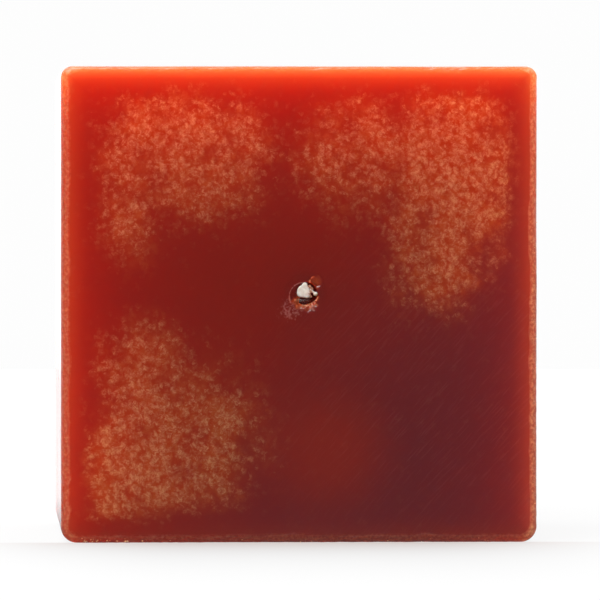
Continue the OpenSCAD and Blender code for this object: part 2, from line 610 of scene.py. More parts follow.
    def scratches(self, tree: Any, point: Any) -> Any:
        """Fine slanting lines, drawn out from noise.

        Args:
            tree: Node tree of the material.
            point: Node that gives the place in millimetres.

        Returns:
            Output with the height of the lines, about 0.5 on average.
        """
        turned = add_node(
            tree, "ShaderNodeVectorRotate", {"Vector": point, "Angle": math.radians(48.0)},
            rotation_type="Y_AXIS",
        )
        drawn = add_node(
            tree, "ShaderNodeVectorMath", {0: turned, 1: (0.3, 0.5, 4.2)}, operation="MULTIPLY",
        )
        return add_node(
            tree, "ShaderNodeTexNoise", {"Vector": drawn, "Scale": 1.0, "Detail": 3.0},
        ).outputs[0]

    def roughness_map(self, tree: Any, point: Any, worn: Any, block: "WaxBlock") -> Any:
        """Roughness: a glossy skin with duller smears, duller still towards one lower corner.

        Args:
            tree: Node tree of the material.
            point: Node that gives the place in millimetres.
            worn: Node that splits the wear into rim, lip and scuff.
            block: The block.

        Returns:
            Node whose output is the roughness.
        """
        smear = add_node(
            tree, "ShaderNodeTexNoise", {"Vector": point, "Scale": 1.0 / 11.0, "Detail": 5.0},
        )
        skin = remap(tree, smear.outputs[0], (0.35, 0.7), (self.roughness, self.roughness + 0.06))
        rubbed = self.rubbed(tree, point, block)
        dull = calculate(tree, "MULTIPLY_ADD", rubbed, 0.06, skin)
        return calculate(tree, "MULTIPLY_ADD", worn.outputs[0], 0.4, dull, clamp=True)

    def rubbed(self, tree: Any, point: Any, block: "WaxBlock") -> Any:
        """Where handling has rubbed the skin: one lower corner of the base and patches elsewhere.

        Args:
            tree: Node tree of the material.
            point: Node that gives the place in millimetres.
            block: The block.

        Returns:
            Node whose output is 1 where the skin is most rubbed.
        """
        corner = (0.6 * block.high_mm[0], block.low_mm[1], block.low_mm[2] + 22.0)
        offset = add_node(tree, "ShaderNodeVectorMath", {0: point, 1: corner}, operation="DISTANCE")
        return remap(tree, offset.outputs["Value"], (42.0, 8.0), interpolation_type="SMOOTHSTEP")

    def relief(self, tree: Any, point: Any, worn: Any, block: "WaxBlock") -> Any:
        """Bump: fine slanting scratches on the skin and crumbs on the rim.

        Args:
            tree: Node tree of the material.
            point: Node that gives the place in millimetres.
            worn: Node that splits the wear into rim, lip and scuff.
            block: The block.

        Returns:
            The bump node.
        """
        strength = remap(tree, self.rubbed(tree, point, block), (0.0, 1.0), (0.02, 0.16))
        scratched = calculate(tree, "MULTIPLY", self.scratches(tree, point), strength)
        crumbs = add_node(
            tree, "ShaderNodeTexNoise", {"Vector": point, "Scale": 2.6, "Detail": 4.0},
        )
        height = calculate(tree, "MULTIPLY_ADD", crumbs.outputs[0], worn.outputs[0], scratched)
        return add_node(
            tree, "ShaderNodeBump", {"Height": height, "Distance": 0.12 * MM, "Strength": 0.5},
        )


@dataclass(frozen=True)
class PrimedCotton:
    """Bleached cotton yarn, twisted, plaited and primed with clear wax.

    The wax fills the fibres, so the yarn is creamy and slightly translucent with a soft gleam, and
    the twist of its fibres shows as fine slanting lines. Inside the candle it soaked up dyed wax.

    Attributes:
        name: Name of the material.
        lit: Fibres on the outside of the twist.
        deep: Wax between the fibres.
        fibre_mm: Spacing of the fine lines.
        roughness: Roughness of the waxed fibres.
        dyed: Cotton that is soaked with dyed wax.
        dyed_to_m: Place along the wick where the dye ends, or None for no dye.
    """

    name: str = "cotton_plaited_primed"
    lit: str = "#f6ecdd"
    deep: str = "#cfae86"
    fibre_mm: float = 0.09
    roughness: float = 0.5
    dyed: str = "#5c0e08"
    dyed_to_m: float | None = None

    def make(self) -> bpy.types.Material:
        """Build the material.

        Returns:
            The material.
        """
        material = bpy.data.materials.new(self.name)
        material.use_nodes = True
        tree = material.node_tree
        tree.nodes.clear()
        place = add_node(tree, "ShaderNodeTexCoord").outputs["Object"]
        along = add_node(tree, "ShaderNodeAttribute", attribute_name=Layer.ALONG.value)
        around = add_node(tree, "ShaderNodeAttribute", attribute_name=Layer.AROUND.value)
        turns = calculate(
            tree, "MULTIPLY_ADD", along.outputs["Fac"], 1.0 / (1.6 * MM), around.outputs["Fac"],
        )
        wave = calculate(tree, "MULTIPLY", turns, 5.0 * TURN)
        twist = calculate(tree, "SINE", wave)
        fibres = add_node(
            tree, "ShaderNodeTexNoise",
            {"Vector": place, "Scale": 1.0 / (self.fibre_mm * MM), "Detail": 3.0},
        )
        height = calculate(tree, "MULTIPLY_ADD", twist, 0.35, fibres.outputs[0])
        soaked = add_node(
            tree, "ShaderNodeTexNoise", {"Vector": place, "Scale": 1.0 / (1.1 * MM), "Detail": 2.0},
        )
        tint = remap(tree, soaked.outputs[0], (0.4, 0.75))
        colour = add_node(
            tree, "ShaderNodeMix", {"Factor_Float": tint, "A_Color": linear(self.lit),
                                    "B_Color": linear(self.deep)},
            data_type="RGBA",
        )
        if self.dyed_to_m is not None:
            inside = remap(
                tree, add_node(tree, "ShaderNodeSeparateXYZ", {0: place}).outputs["Y"],
                (self.dyed_to_m, self.dyed_to_m - 2.5 * MM), interpolation_type="SMOOTHSTEP",
            )
            colour = add_node(
                tree, "ShaderNodeMix",
                {"Factor_Float": inside, "A_Color": colour, "B_Color": linear(self.dyed)},
                data_type="RGBA",
            )
        bump = add_node(
            tree, "ShaderNodeBump", {"Height": height, "Distance": 0.04 * MM, "Strength": 0.6},
        )
        shader = add_node(
            tree, "ShaderNodeBsdfPrincipled",
            {"Base Color": colour, "Roughness": self.roughness, "Subsurface Weight": 0.35,
             "Subsurface Scale": MM, "Subsurface Radius": (0.5, 0.4, 0.3), "Sheen Weight": 0.03,
             "Normal": bump},
        )
        add_node(tree, "ShaderNodeOutputMaterial", {"Surface": shader})
        return material


@dataclass(frozen=True)
class ClearWax:
    """Undyed wax that set in small beads and flakes: cream, milky and glossy.

    Attributes:
        name: Name of the material.
        milk: Thin wax.
        amber: Wax seen through its thickness.
        roughness: Roughness of the wax.
    """

    name: str = "wax_undyed_set"
    milk: str = "#fff0e2"
    amber: str = "#f4cdb0"
    roughness: float = 0.28

    def make(self) -> bpy.types.Material:
        """Build the material.

        Returns:
            The material.
        """
        material = bpy.data.materials.new(self.name)
        material.use_nodes = True
        tree = material.node_tree
        tree.nodes.clear()
        place = add_node(tree, "ShaderNodeTexCoord").outputs["Object"]
        lumps = add_node(
            tree, "ShaderNodeTexNoise", {"Vector": place, "Scale": 1.0 / (0.4 * MM), "Detail": 3.0},
        )
        colour = add_node(
            tree, "ShaderNodeMix", {"Factor_Float": lumps.outputs[0], "A_Color": linear(self.milk),
                                    "B_Color": linear(self.amber)},
            data_type="RGBA",
        )
        bump = add_node(
            tree, "ShaderNodeBump",
            {"Height": lumps.outputs[0], "Distance": 0.05 * MM, "Strength": 0.5},
        )
        shader = add_node(
            tree, "ShaderNodeBsdfPrincipled",
            {"Base Color": colour, "Roughness": self.roughness, "IOR": 1.44, "Normal": bump,
             "Subsurface Weight": 0.6, "Subsurface Scale": MM, "Subsurface Radius": (0.8, 0.6, 0.4)},
        )
        add_node(tree, "ShaderNodeOutputMaterial", {"Surface": shader})
        return material


# ---------------------------------------------------------------------------------------------
# The wax block
# ---------------------------------------------------------------------------------------------


@dataclass
class CutEnd:
    """The cut end of the wick: three strands spread by the knife and sealed in wax.

    Each lobe is a strand's end, given as its middle from the middle of the hole and its radius.

    Attributes:
        lobes_mm: x, z and radius of each lobe.
        proud_mm: How far the cut end lies inside the base.
        depth_mm: How deep the cut end is modelled.
        sides: Points round its outline.
        seed: Seed of its surface.
    """

    lobes_mm: tuple[tuple[float, float, float], ...] = (
        (-0.34, 0.38, 1.0), (-0.12, 1.36, 0.44), (0.2, -0.1, 0.6), (-0.72, 0.1, 0.66),
    )
    proud_mm: float = 0.1
    depth_mm: float = 0.9
    sides: int = 96
    seed: float = 21.0

    def reach(self, middle: np.ndarray, way: np.ndarray) -> np.ndarray:
        """How far the lobes reach from a point, in each direction.

        Args:
            middle: x and z of the point, from the middle of the hole.
            way: Directions, one unit vector in each row.

        Returns:
            The distances in millimetres.
        """
        reach = np.zeros(len(way))
        for x, z, radius in self.lobes_mm:
            toward = np.array([x, z]) - middle
            along = way @ toward
            room = radius ** 2 - (toward @ toward - along ** 2)
            reach = np.maximum(reach, np.where(room > 0.0, along + np.sqrt(np.maximum(room, 0.0)), 0.0))
        return reach

    def outline(self) -> tuple[np.ndarray, np.ndarray, np.ndarray]:
        """Outline of the lobes together, rounded where two of them meet.

        Returns:
            The middle that it is seen from, the directions and the distance in each.
        """
        middle = np.array([-0.26, 0.45])
        turn = TURN * np.arange(self.sides) / self.sides
        way = np.c_[np.cos(turn), np.sin(turn)]
        reach = self.reach(middle, way)
        for _ in range(3):
            reach = (np.roll(reach, 1) + 2.0 * reach + np.roll(reach, -1)) / 4.0
        return middle, way, reach

    def build(self, block: "WaxBlock", material: bpy.types.Material) -> bpy.types.Object:
        """Build the end as a rounded pad with a fibrous face.

        Args:
            block: The block that the wick runs through.
            material: Finish of the end.

        Returns:
            The cut end.
        """
        middle, way, reach = self.outline()
        base_y = block.low_mm[1]
        verts = [np.array([*(block.hole_mm + middle), 0.0])[[0, 2, 1]]]
        front_y = base_y + self.proud_mm
        verts[0][1] = front_y
        shares = [*np.linspace(0.08, 0.8, 12), 0.87, 0.92, 0.96, 0.985, 1.0, 1.0, 0.97, 0.9, 0.75]
        depths = [0.0] * 12 + [0.02, 0.05, 0.1, 0.16, 0.24, 0.34, 0.46, 0.62, self.depth_mm]
        for share, depth in zip(shares, depths):
            flat = block.hole_mm + middle + way * (reach * share)[:, None]
            ring = np.c_[flat[:, 0], np.full(self.sides, front_y + depth), flat[:, 1]]
            lumps = 0.5 + 0.5 * ripple(ring, 0.42, self.seed)
            fibres = ripple(ring, 0.13, self.seed + 1.0)
            crease = self.crease(flat - block.hole_mm)
            ring[:, 1] += 0.08 * lumps + 0.02 * fibres + 0.06 * crease
            ring[:, [0, 2]] += way * (0.035 * share * ripple(ring, 0.22, self.seed + 2.0))[:, None]
            verts.extend(ring)
        verts.append(np.array([verts[0][0], front_y + self.depth_mm, verts[0][2]]))
        faces: list[tuple[int, ...]] = []
        rings = len(shares)
        for side in range(self.sides):
            after = (side + 1) % self.sides
            faces.append((0, 1 + side, 1 + after))
            last = 1 + (rings - 1) * self.sides
            faces.append((last + self.sides, last + after, last + side))
            for ring_index in range(rings - 1):
                a = 1 + ring_index * self.sides
                b = a + self.sides
                faces.append((a + side, b + side, b + after, a + after))
        made = mesh_object("wick_cut_end", np.array(verts) * MM, faces)
        made.data.materials.append(material)
        return made

    def crease(self, flat: np.ndarray) -> np.ndarray:
        """Shallow valleys where two strand ends meet.

        Args:
            flat: x and z of each point from the middle of the hole.

        Returns:
            Depth of the valley at each point, from 0 to 1.
        """
        gaps = np.stack([
            np.hypot(flat[:, 0] - x, flat[:, 1] - z) / radius for x, z, radius in self.lobes_mm[1:]
        ])
        nearest = np.sort(gaps, axis=0)
        return np.exp(-(((nearest[1] - nearest[0]) / 0.16) ** 2)) * (nearest[0] > 0.5)


@dataclass(frozen=True)
class HoleWear:
    """Damage round the mouth of the pin hole.

    Places are x and z from the middle of the hole, in millimetres. Directions are in degrees from
    +X towards +Z.

    Attributes:
        sink_mm: How far the base sinks towards the hole, as wax does when it sets.
        lip_towards_deg: Middle of the side where the lip is broken away.
        dent_mm: Middle of the dent beside the hole.
        dent_r_mm: Radius of the dent.
        dent_depth_mm: Depth of the dent.
        mark_mm: Middle of the ring that a tool pressed in.
        mark_r_mm: Radius of the ring.
        mark_towards_deg: Middle of the side where the ring shows.
        mark_depth_mm: Depth of the ring.
        crumbs_towards_deg: Middle of the right side, where crumbs stick to the lip.
        scuff_mm: Middle of the scuffed skin.
    """

    sink_mm: float = 0.12
    lip_towards_deg: float = 262.0
    dent_mm: tuple[float, float] = (1.65, 1.9)
    dent_r_mm: float = 0.95
    dent_depth_mm: float = 0.12
    mark_mm: tuple[float, float] = (-0.36, -0.45)
    mark_r_mm: float = 2.2
    mark_towards_deg: float = 152.0
    mark_depth_mm: float = 0.06
    crumbs_towards_deg: float = -30.0
    scuff_mm: tuple[float, float] = (-2.4, -2.5)

    @staticmethod
    def beside(angle: np.ndarray, towards_deg: float, none: float, full: float) -> np.ndarray:
        """How fully each direction lies within a side of the hole.

        Args:
            angle: Directions in degrees, from 0 to 360.
            towards_deg: Middle of the side.
            none: Turn from the middle at which the share has fallen to 0.
            full: Turn from the middle up to which it is 1.

        Returns:
            Share from 0 to 1 for each direction.
        """
        return fade(np.abs(angle - towards_deg), none, full)


@dataclass
class WaxBlock:
    """The cast block, drawn as one ring of points carried over its whole surface.

    The rings start in the pin hole, run out over the base, along the sides, over the lighting end
    and back through the hole, so the mesh closes on itself with no poles.

    Attributes:
        upper_edge_r_mm: Radius of the two upper long edges.
        lower_edge_r_mm: Radius of the two lower long edges.
        base_bevel_mm: Mean width of the trimmed rim of the base.
        end_round_mm: Rounding of the lighting end.
        hole_right_mm: How far to the right of the middle the hole is.
        hole_up_mm: How far above the middle the hole is.
        hole_base_r_mm: Radius of the pin hole at the base.
        hole_end_r_mm: Its radius at the lighting end.
        mouth_flare_mm: How much wider its mouth is.
        mouth_depth_mm: How deep the flare goes.
        around: Points in a ring.
        seed: Seed of the chips along the rim.
        end: Cut end of the wick.
        damage: Damage round the mouth of the hole.
        low_mm: Lowest corner of the CAD node's box.
        high_mm: Its highest corner.
        middle_z_mm: Height of its middle.
    """

    upper_edge_r_mm: float = 1.8
    lower_edge_r_mm: float = 2.5
    base_bevel_mm: float = 1.1
    end_round_mm: float = 1.7
    hole_right_mm: float = 1.0
    hole_up_mm: float = 1.7
    hole_base_r_mm: float = 1.8
    hole_end_r_mm: float = 1.4
    mouth_flare_mm: float = 0.12
    mouth_depth_mm: float = 0.5
    around: int = 840
    seed: int = 4
    end: CutEnd = field(default_factory=CutEnd)
    damage: HoleWear = HoleWear()
    low_mm: np.ndarray = field(init=False)
    high_mm: np.ndarray = field(init=False)
    middle_z_mm: float = field(init=False)

    def __post_init__(self) -> None:
        """Take the size of the block from its CAD node."""
        low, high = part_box("wax_body")
        self.low_mm = np.array(low) / MM
        self.high_mm = np.array(high) / MM
        self.middle_z_mm = (self.low_mm[2] + self.high_mm[2]) / 2.0

    @property
    def hole_mm(self) -> np.ndarray:
        """Middle of the pin hole across the block, as x and z."""
        middle_x = (self.low_mm[0] + self.high_mm[0]) / 2.0
        return np.array([middle_x + self.hole_right_mm, self.middle_z_mm + self.hole_up_mm])

    def outline(self, inset: np.ndarray | float) -> np.ndarray:
        """Outline of the block across its length, drawn in by inset.

        Args:
            inset: How far the outline lies inside the sides, for all points or one by one.

        Returns:
            x and z of each point, anticlockwise as seen from the base.
        """
        corners = (
            (self.high_mm[0], self.high_mm[2], self.upper_edge_r_mm, 0.0),
            (self.low_mm[0], self.high_mm[2], self.upper_edge_r_mm, 90.0),
            (self.low_mm[0], self.low_mm[2], self.lower_edge_r_mm, 180.0),
            (self.high_mm[0], self.low_mm[2], self.lower_edge_r_mm, 270.0),
        )
        arc_points = 16
        middles, radii, angles = [], [], []
        for x, z, r, start in corners:
            toward = (-math.copysign(r, x - self.hole_mm[0]), -math.copysign(r, z - self.middle_z_mm))
            for step in range(arc_points):
                middles.append((x + toward[0], z + toward[1]))
                radii.append(r)
                angles.append(math.radians(start + 90.0 * step / (arc_points - 1)))
        middles, radii, angles = np.array(middles), np.array(radii), np.array(angles)
        turn = np.c_[np.cos(angles), np.sin(angles)]
        arcs = middles + radii[:, None] * turn
        gaps = np.linalg.norm(np.roll(arcs, -1, axis=0) - arcs, axis=1)
        travel = np.r_[0.0, np.cumsum(gaps)]
        wanted = travel[-1] * np.arange(self.around) / self.around
        at = np.searchsorted(travel, wanted, side="right") - 1
        part = ((wanted - travel[at]) / np.maximum(gaps[at], 1e-9))[:, None]
        after = (at + 1) % len(middles)
        depth = np.broadcast_to(np.asarray(inset, float), (self.around,))[:, None]
        here = middles[at] + (radii[at, None] - depth) * turn[at]
        there = middles[after] + (radii[after, None] - depth) * turn[after]
        return here + part * (there - here)

    def hole_circle(self, outline: np.ndarray, radius: np.ndarray | float) -> np.ndarray:
        """Points round the pin hole, each in the direction of its outline point.

        Args:
            outline: x and z of the outline.
            radius: Radius of the circle, for all points or one by one.

        Returns:
            x and z of each point.
        """
        out = outline - self.hole_mm
        size = np.linalg.norm(out, axis=1, keepdims=True)
        wide = np.broadcast_to(np.asarray(radius, float), (self.around,))[:, None]
        return self.hole_mm + out / size * wide

    def build(self) -> bpy.types.Object:
        """Build the mesh with its worn edges, chips, dents and wear layer.

        Returns:
            The wax block.
        """
        rings, zones = self.rings()
        points = np.stack(rings)
        worn = self.wear(points, np.array(zones))
        count, around = points.shape[:2]
        index = np.arange(count * around).reshape(count, around)
        ahead, beside = np.roll(index, -1, axis=0), np.roll(index, -1, axis=1)
        both = np.roll(ahead, -1, axis=1)
        faces = np.stack([index, ahead, both, beside], axis=-1).reshape(-1, 4)
        made = mesh_object("wax_body_cast", points.reshape(-1, 3) * MM, faces)
        layer = made.data.color_attributes.new(Layer.WEAR.value, "FLOAT_COLOR", "POINT")
        layer.data.foreach_set("color", np.c_[worn, np.ones(len(worn))].ravel())
        return made

    def rings(self) -> tuple[list[np.ndarray], list[float]]:
        """Rings of points over the whole surface.

        Returns:
            The rings, and for each ring how far it is into the base rim, from 0 to 1.
        """
        base_y, end_y = self.low_mm[1], self.high_mm[1]
        full = self.outline(0.0)
        rim_points = np.c_[full[:, 0], np.full(self.around, base_y), full[:, 1]]
        bevel = self.base_bevel_mm * self.rim_width(full) * (
            0.95 + 0.2 * ripple(rim_points, 9.0, 1.0) + 0.12 * ripple(rim_points, 2.0, 2.0)
        ) + self.chips()
        inner = self.outline(bevel)
        rings: list[np.ndarray] = []
        zones: list[float] = []

        def lay(flat: np.ndarray, y: np.ndarray | float, zone: float = 0.0) -> None:
            """Add one ring, with its share of the base rim."""
            rings.append(np.c_[flat[:, 0], np.broadcast_to(y, (self.around,)), flat[:, 1]])
            zones.append(zone)

        # The wall of the pin hole, from the lighting end to the mouth.
        taper = (self.hole_end_r_mm - self.hole_base_r_mm) / (end_y - base_y)
        seal = self.seal(full)
        near_base = [base_y + depth for depth in (9.0, 5.0, 3.0, 2.2, 1.6, 1.1, 0.8)]
        for y in (end_y - 0.25, end_y - 6.0, 10.0, -15.0, *near_base):
            near = max(0.0, 1.0 - (y - base_y) / 9.0)
            lay(self.hole_circle(full, self.hole_base_r_mm + taper * (y - base_y) - seal * near), y)
        for step in np.linspace(0.0, 1.0, 6):
            flare = self.mouth_flare_mm * step ** 2
            lay(self.hole_circle(full, self.hole_base_r_mm + flare - seal),
                base_y + self.mouth_depth_mm * (1.0 - step))
        # The base, with its rings close together round the hole.
        mouth = self.hole_circle(full, self.hole_base_r_mm + self.mouth_flare_mm - seal)
        reach = np.linalg.norm(inner - mouth, axis=1)
        fine = np.linspace(0.06, 1.9, 26)
        coarse = np.geomspace(2.2, 26.0, 9)
        for away in (*fine, *coarse):
            part = np.minimum(away / reach, away / 34.0)[:, None]
            lay(mouth + part * (inner - mouth), base_y)
        for part in (0.86, 0.93, 0.965, 0.985, 1.0):
            lay(mouth + part * (inner - mouth), base_y, float(part > 0.99))
        # The rim, half rounded and half bevelled, and the sides.
        for step in np.linspace(0.0, 1.0, 8)[1:]:
            angle = 0.5 * math.pi * step
            drawn = bevel * (1.0 - math.sin(angle)) * 0.6 + bevel * (1.0 - step) * 0.4
            deep = bevel * (1.0 - math.cos(angle)) * 0.6 + bevel * step * 0.4
            lay(self.outline(drawn), base_y + deep, 1.0 - 0.5 * step)
        for away in (0.3, 0.7, 1.3, 2.5, 5.0):
            lay(full, base_y + bevel + away, max(0.0, 0.4 - 0.4 * away))
        for y in np.linspace(base_y + 14.0, end_y - self.end_round_mm, 7):
            lay(full, y)
        # The rounded rim of the lighting end, and that end up to the hole.
        for step in np.linspace(0.0, 1.0, 8)[1:]:
            angle = 0.5 * math.pi * step
            lay(self.outline(self.end_round_mm * (1.0 - math.cos(angle))),
                end_y - self.end_round_mm * (1.0 - math.sin(angle)))
        end_outline = self.outline(self.end_round_mm)
        end_hole = self.hole_circle(full, self.hole_end_r_mm + 0.25)
        for part in (0.95, 0.85, 0.7, 0.55, 0.4, 0.28, 0.18, 0.1, 0.05, 0.02, 0.0):
            lay(end_hole + part * (end_outline - end_hole), end_y)
        lay(self.hole_circle(full, self.hole_end_r_mm + 0.07), end_y - 0.07)
        return rings, zones

    def seal(self, outline: np.ndarray) -> np.ndarray:
        """Wax that has set in the mouth of the hole, against the side that the wick leans on.

        Args:
            outline: x and z of the outline.

        Returns:
            How much narrower the mouth is in each direction, in millimetres.
        """
        out = outline - self.hole_mm
        angle = np.degrees(np.arctan2(out[:, 1], out[:, 0])) % 360.0
        way = out / np.linalg.norm(out, axis=1, keepdims=True)
        room = self.hole_base_r_mm + self.mouth_flare_mm - self.end.reach(np.zeros(2), way)
        leaned_on = self.damage.beside(angle, 160.0, 76.0, 52.0)
        ledge = self.damage.beside(angle, 285.0, 45.0, 10.0)
        return leaned_on * np.maximum(room - 0.02, 0.0) + 0.1 * ledge

    def rim_width(self, outline: np.ndarray) -> np.ndarray:
        """Share of the full bevel that each side's rim has: trimmed least on top.

        Args:
            outline: x and z of the outline.

        Returns:
            The share at each point.
        """
        sides = self.nearness(outline)
        shares = np.array([0.72, 0.92, 0.34, 0.85])
        return (sides * shares).sum(axis=1) / sides.sum(axis=1)

    def nearness(self, flat: np.ndarray) -> np.ndarray:
        """How near each point is to the right, left, upper and lower side.

        Args:
            flat: x and z of each point.

        Returns:
            Four values from 0 to 1 for each point.
        """
        half = (self.high_mm - self.low_mm)[[0, 2]] / 2.0
        across = flat[:, 0] / half[0]
        up = (flat[:, 1] - self.middle_z_mm) / half[1]
        return np.stack([fade(v, 0.9, 1.0) for v in (across, -across, up, -up)], axis=1)

    def chips(self) -> np.ndarray:
        """Bites out of the rim of the base, as extra bevel at each outline point.

        Returns:
            Extra bevel in millimetres.
        """
        draw = random.Random(self.seed)
        span = np.arange(self.around)
        extra = np.zeros(self.around)
        for _ in range(46):
            at, wide = draw.uniform(0, self.around), draw.uniform(1.2, 5.5)
            away = np.abs((span - at + self.around / 2) % self.around - self.around / 2)
            extra += draw.uniform(0.05, 0.25) * np.exp(-((away / wide) ** 2))
        return extra

    def wear(self, points: np.ndarray, zones: np.ndarray) -> np.ndarray:
        """Press dents, chips and slight waves into the points.

        Args:
            points: Rings of points, changed in place.
            zones: How far each ring is into the base rim.

        Returns:
            Wear at each point: rim, lip and scuff.
        """
        flat = points.reshape(-1, 3)
        rim = np.repeat(zones, points.shape[1])
        across = flat[:, [0, 2]] - self.hole_mm
        from_hole = np.linalg.norm(across, axis=1)
        angle = np.degrees(np.arctan2(across[:, 1], across[:, 0])) % 360.0
        on_base = flat[:, 1] < self.low_mm[1] + 0.6
        broken = self.damage.beside(angle, self.damage.lip_towards_deg, 72.0, 46.0)
        self.press_sides(flat, rim, from_hole)
        lip, lip_depth = self.lip(flat, from_hole, broken, on_base)
        hollow, brim, dent_depth = self.dent(flat, across, on_base)
        mark = self.ring_mark(across, angle, on_base)
        sink = self.damage.sink_mm * fade(from_hole, 32.0, 4.0) * on_base
        sink += lip_depth
        sink += dent_depth
        sink += self.damage.mark_depth_mm * mark
        flat[:, 1] += np.maximum(sink, 0.0)
        self.break_wall(flat, across, from_hole, broken)
        np.clip(flat, self.low_mm, self.high_mm, out=flat)
        grain = 0.5 + 0.5 * ripple(flat, 0.46, 12.0)
        mouth_y = fade(flat[:, 1], self.low_mm[1] + 1.6, self.low_mm[1] + 0.1)
        in_mouth = mouth_y * (from_hole < self.hole_base_r_mm + 0.3)
        chipped = np.maximum(lip, in_mouth) * broken * (0.42 + 0.6 * fade(grain, 0.56, 0.74))
        turned = np.abs((angle + 180.0) % 360.0 - 180.0 - self.damage.crumbs_towards_deg)
        by_lip = np.exp(-(((from_hole - 1.95) / 0.18) ** 2))
        stuck = fade(turned, 34.0, 12.0) * by_lip * fade(grain, 0.5, 0.62) * on_base
        crumbed_brim = brim * fade(grain, 0.46, 0.62) * fade(across[:, 0], 2.4, 1.2)
        dented = 0.24 * hollow + 0.8 * crumbed_brim
        lip_tone = np.clip(chipped + 0.9 * stuck + dented, 0.0, 1.0)
        from_scuff = np.linalg.norm(across - np.array(self.damage.scuff_mm), axis=1)
        clean = 1.0 - np.minimum(2.0 * lip_tone, 1.0)
        scuff = np.clip(mark + 0.6 * fade(from_scuff, 2.8, 0.8) * on_base * clean, 0.0, 1.0)
        return np.c_[rim * self.rubbing(flat), lip_tone, scuff]

    def press_sides(self, flat: np.ndarray, rim: np.ndarray, from_hole: np.ndarray) -> None:
        """Press slight waves into the sides and crumbs into the rim, both towards the middle.

        Args:
            flat: Places in millimetres, changed in place.
            rim: How far each place is into the rim of the base.
            from_hole: Distance of each place from the middle of the hole.
        """
        wave_mm, crumb_mm = 0.05, 0.06
        inward = np.array([0.0, 0.0, self.middle_z_mm]) - flat
        inward /= np.abs(inward).max(axis=1, keepdims=True)
        waves = 0.5 + 0.5 * ripple(flat, 16.0, 3.0)
        crumbs = ripple(flat, 0.9, 5.0)
        shell = from_hole > self.hole_base_r_mm + 1.5
        flat += inward * (wave_mm * waves * shell)[:, None]
        flat += inward * (crumb_mm * (1.0 + crumbs) * rim)[:, None]

    def lip(self, flat: np.ndarray, from_hole: np.ndarray, broken: np.ndarray,
            on_base: np.ndarray) -> tuple[np.ndarray, np.ndarray]:
        """Lip of the hole: a narrow rounding, and a ragged slope where it is broken away.

        Args:
            flat: Places in millimetres.
            from_hole: Distance of each place from the middle of the hole.
            broken: Share from 0 to 1 of the broken side.
            on_base: Which places are on the base.

        Returns:
            Share of the lip and its depth in millimetres, at each place.
        """
        rough = ripple(flat, 0.7, 8.0)
        facets = ripple(flat, 0.4, 11.0)
        width = (0.08 + 0.95 * broken) * (1.0 + 0.45 * rough)
        lip = np.clip(1.0 - (from_hole - self.hole_base_r_mm - 0.1) / width, 0.0, 1.0) * on_base
        return lip, lip * (0.1 + broken * (0.34 + 0.3 * rough + 0.2 * facets))

    def dent(self, flat: np.ndarray, across: np.ndarray,
             on_base: np.ndarray) -> tuple[np.ndarray, np.ndarray, np.ndarray]:
        """Round dent beside the hole, with wax pushed up round it.

        Args:
            flat: Places in millimetres.
            across: x and z of each place from the middle of the hole.
            on_base: Which places are on the base.

        Returns:
            Share of the dent, share of its brim and depth in millimetres, at each place.
        """
        away = np.linalg.norm(across - np.array(self.damage.dent_mm), axis=1)
        hollow = np.clip(1.0 - (away / self.damage.dent_r_mm) ** 2, 0.0, 1.0) * on_base
        brim = np.exp(-(((away - 1.0) / 0.2) ** 2)) * on_base
        facets = ripple(flat, 0.4, 11.0)
        return hollow, brim, self.damage.dent_depth_mm * hollow * (1.0 + 0.5 * facets) - 0.05 * brim

    def ring_mark(self, across: np.ndarray, angle: np.ndarray, on_base: np.ndarray) -> np.ndarray:
        """Thin ring that a tool pressed into the base round the hole.

        Args:
            across: x and z of each place from the middle of the hole.
            angle: Direction of each place from the middle of the hole, in degrees.
            on_base: Which places are on the base.

        Returns:
            Share of the ring at each place.
        """
        line_mm = 0.09
        away = np.linalg.norm(across - np.array(self.damage.mark_mm), axis=1)
        shown = self.damage.beside(angle, self.damage.mark_towards_deg, 66.0, 48.0)
        return np.exp(-(((away - self.damage.mark_r_mm) / line_mm) ** 2)) * shown * on_base

    def break_wall(self, flat: np.ndarray, across: np.ndarray, from_hole: np.ndarray,
                   broken: np.ndarray) -> None:
        """Make the wall of the hole uneven near the mouth, where the lip is broken.

        Args:
            flat: Places in millimetres, changed in place.
            across: x and z of each place from the middle of the hole.
            from_hole: Distance of each place from the middle of the hole.
            broken: Share from 0 to 1 of the broken side.
        """
        uneven_mm = 0.16
        near_mouth = fade(flat[:, 1], self.low_mm[1] + 2.0, self.low_mm[1]) * (from_hole < 2.6)
        ragged = ripple(flat, 0.5, 9.0) * near_mouth * broken
        outward = across / np.maximum(from_hole, 1e-6)[:, None]
        flat[:, [0, 2]] += outward * (uneven_mm * ragged)[:, None]

    def rubbing(self, flat: np.ndarray) -> np.ndarray:
        """How hard each side's rim is rubbed: most on the right and below, least on top.

        Args:
            flat: Places in millimetres.

        Returns:
            Share of the bloom at each place.
        """
        right, left, _, below = self.nearness(flat[:, [0, 2]]).T
        return np.clip(0.12 + 0.7 * right + 0.4 * left + 0.22 * below, 0.0, 1.0)


# ---------------------------------------------------------------------------------------------
# The wick
# ---------------------------------------------------------------------------------------------


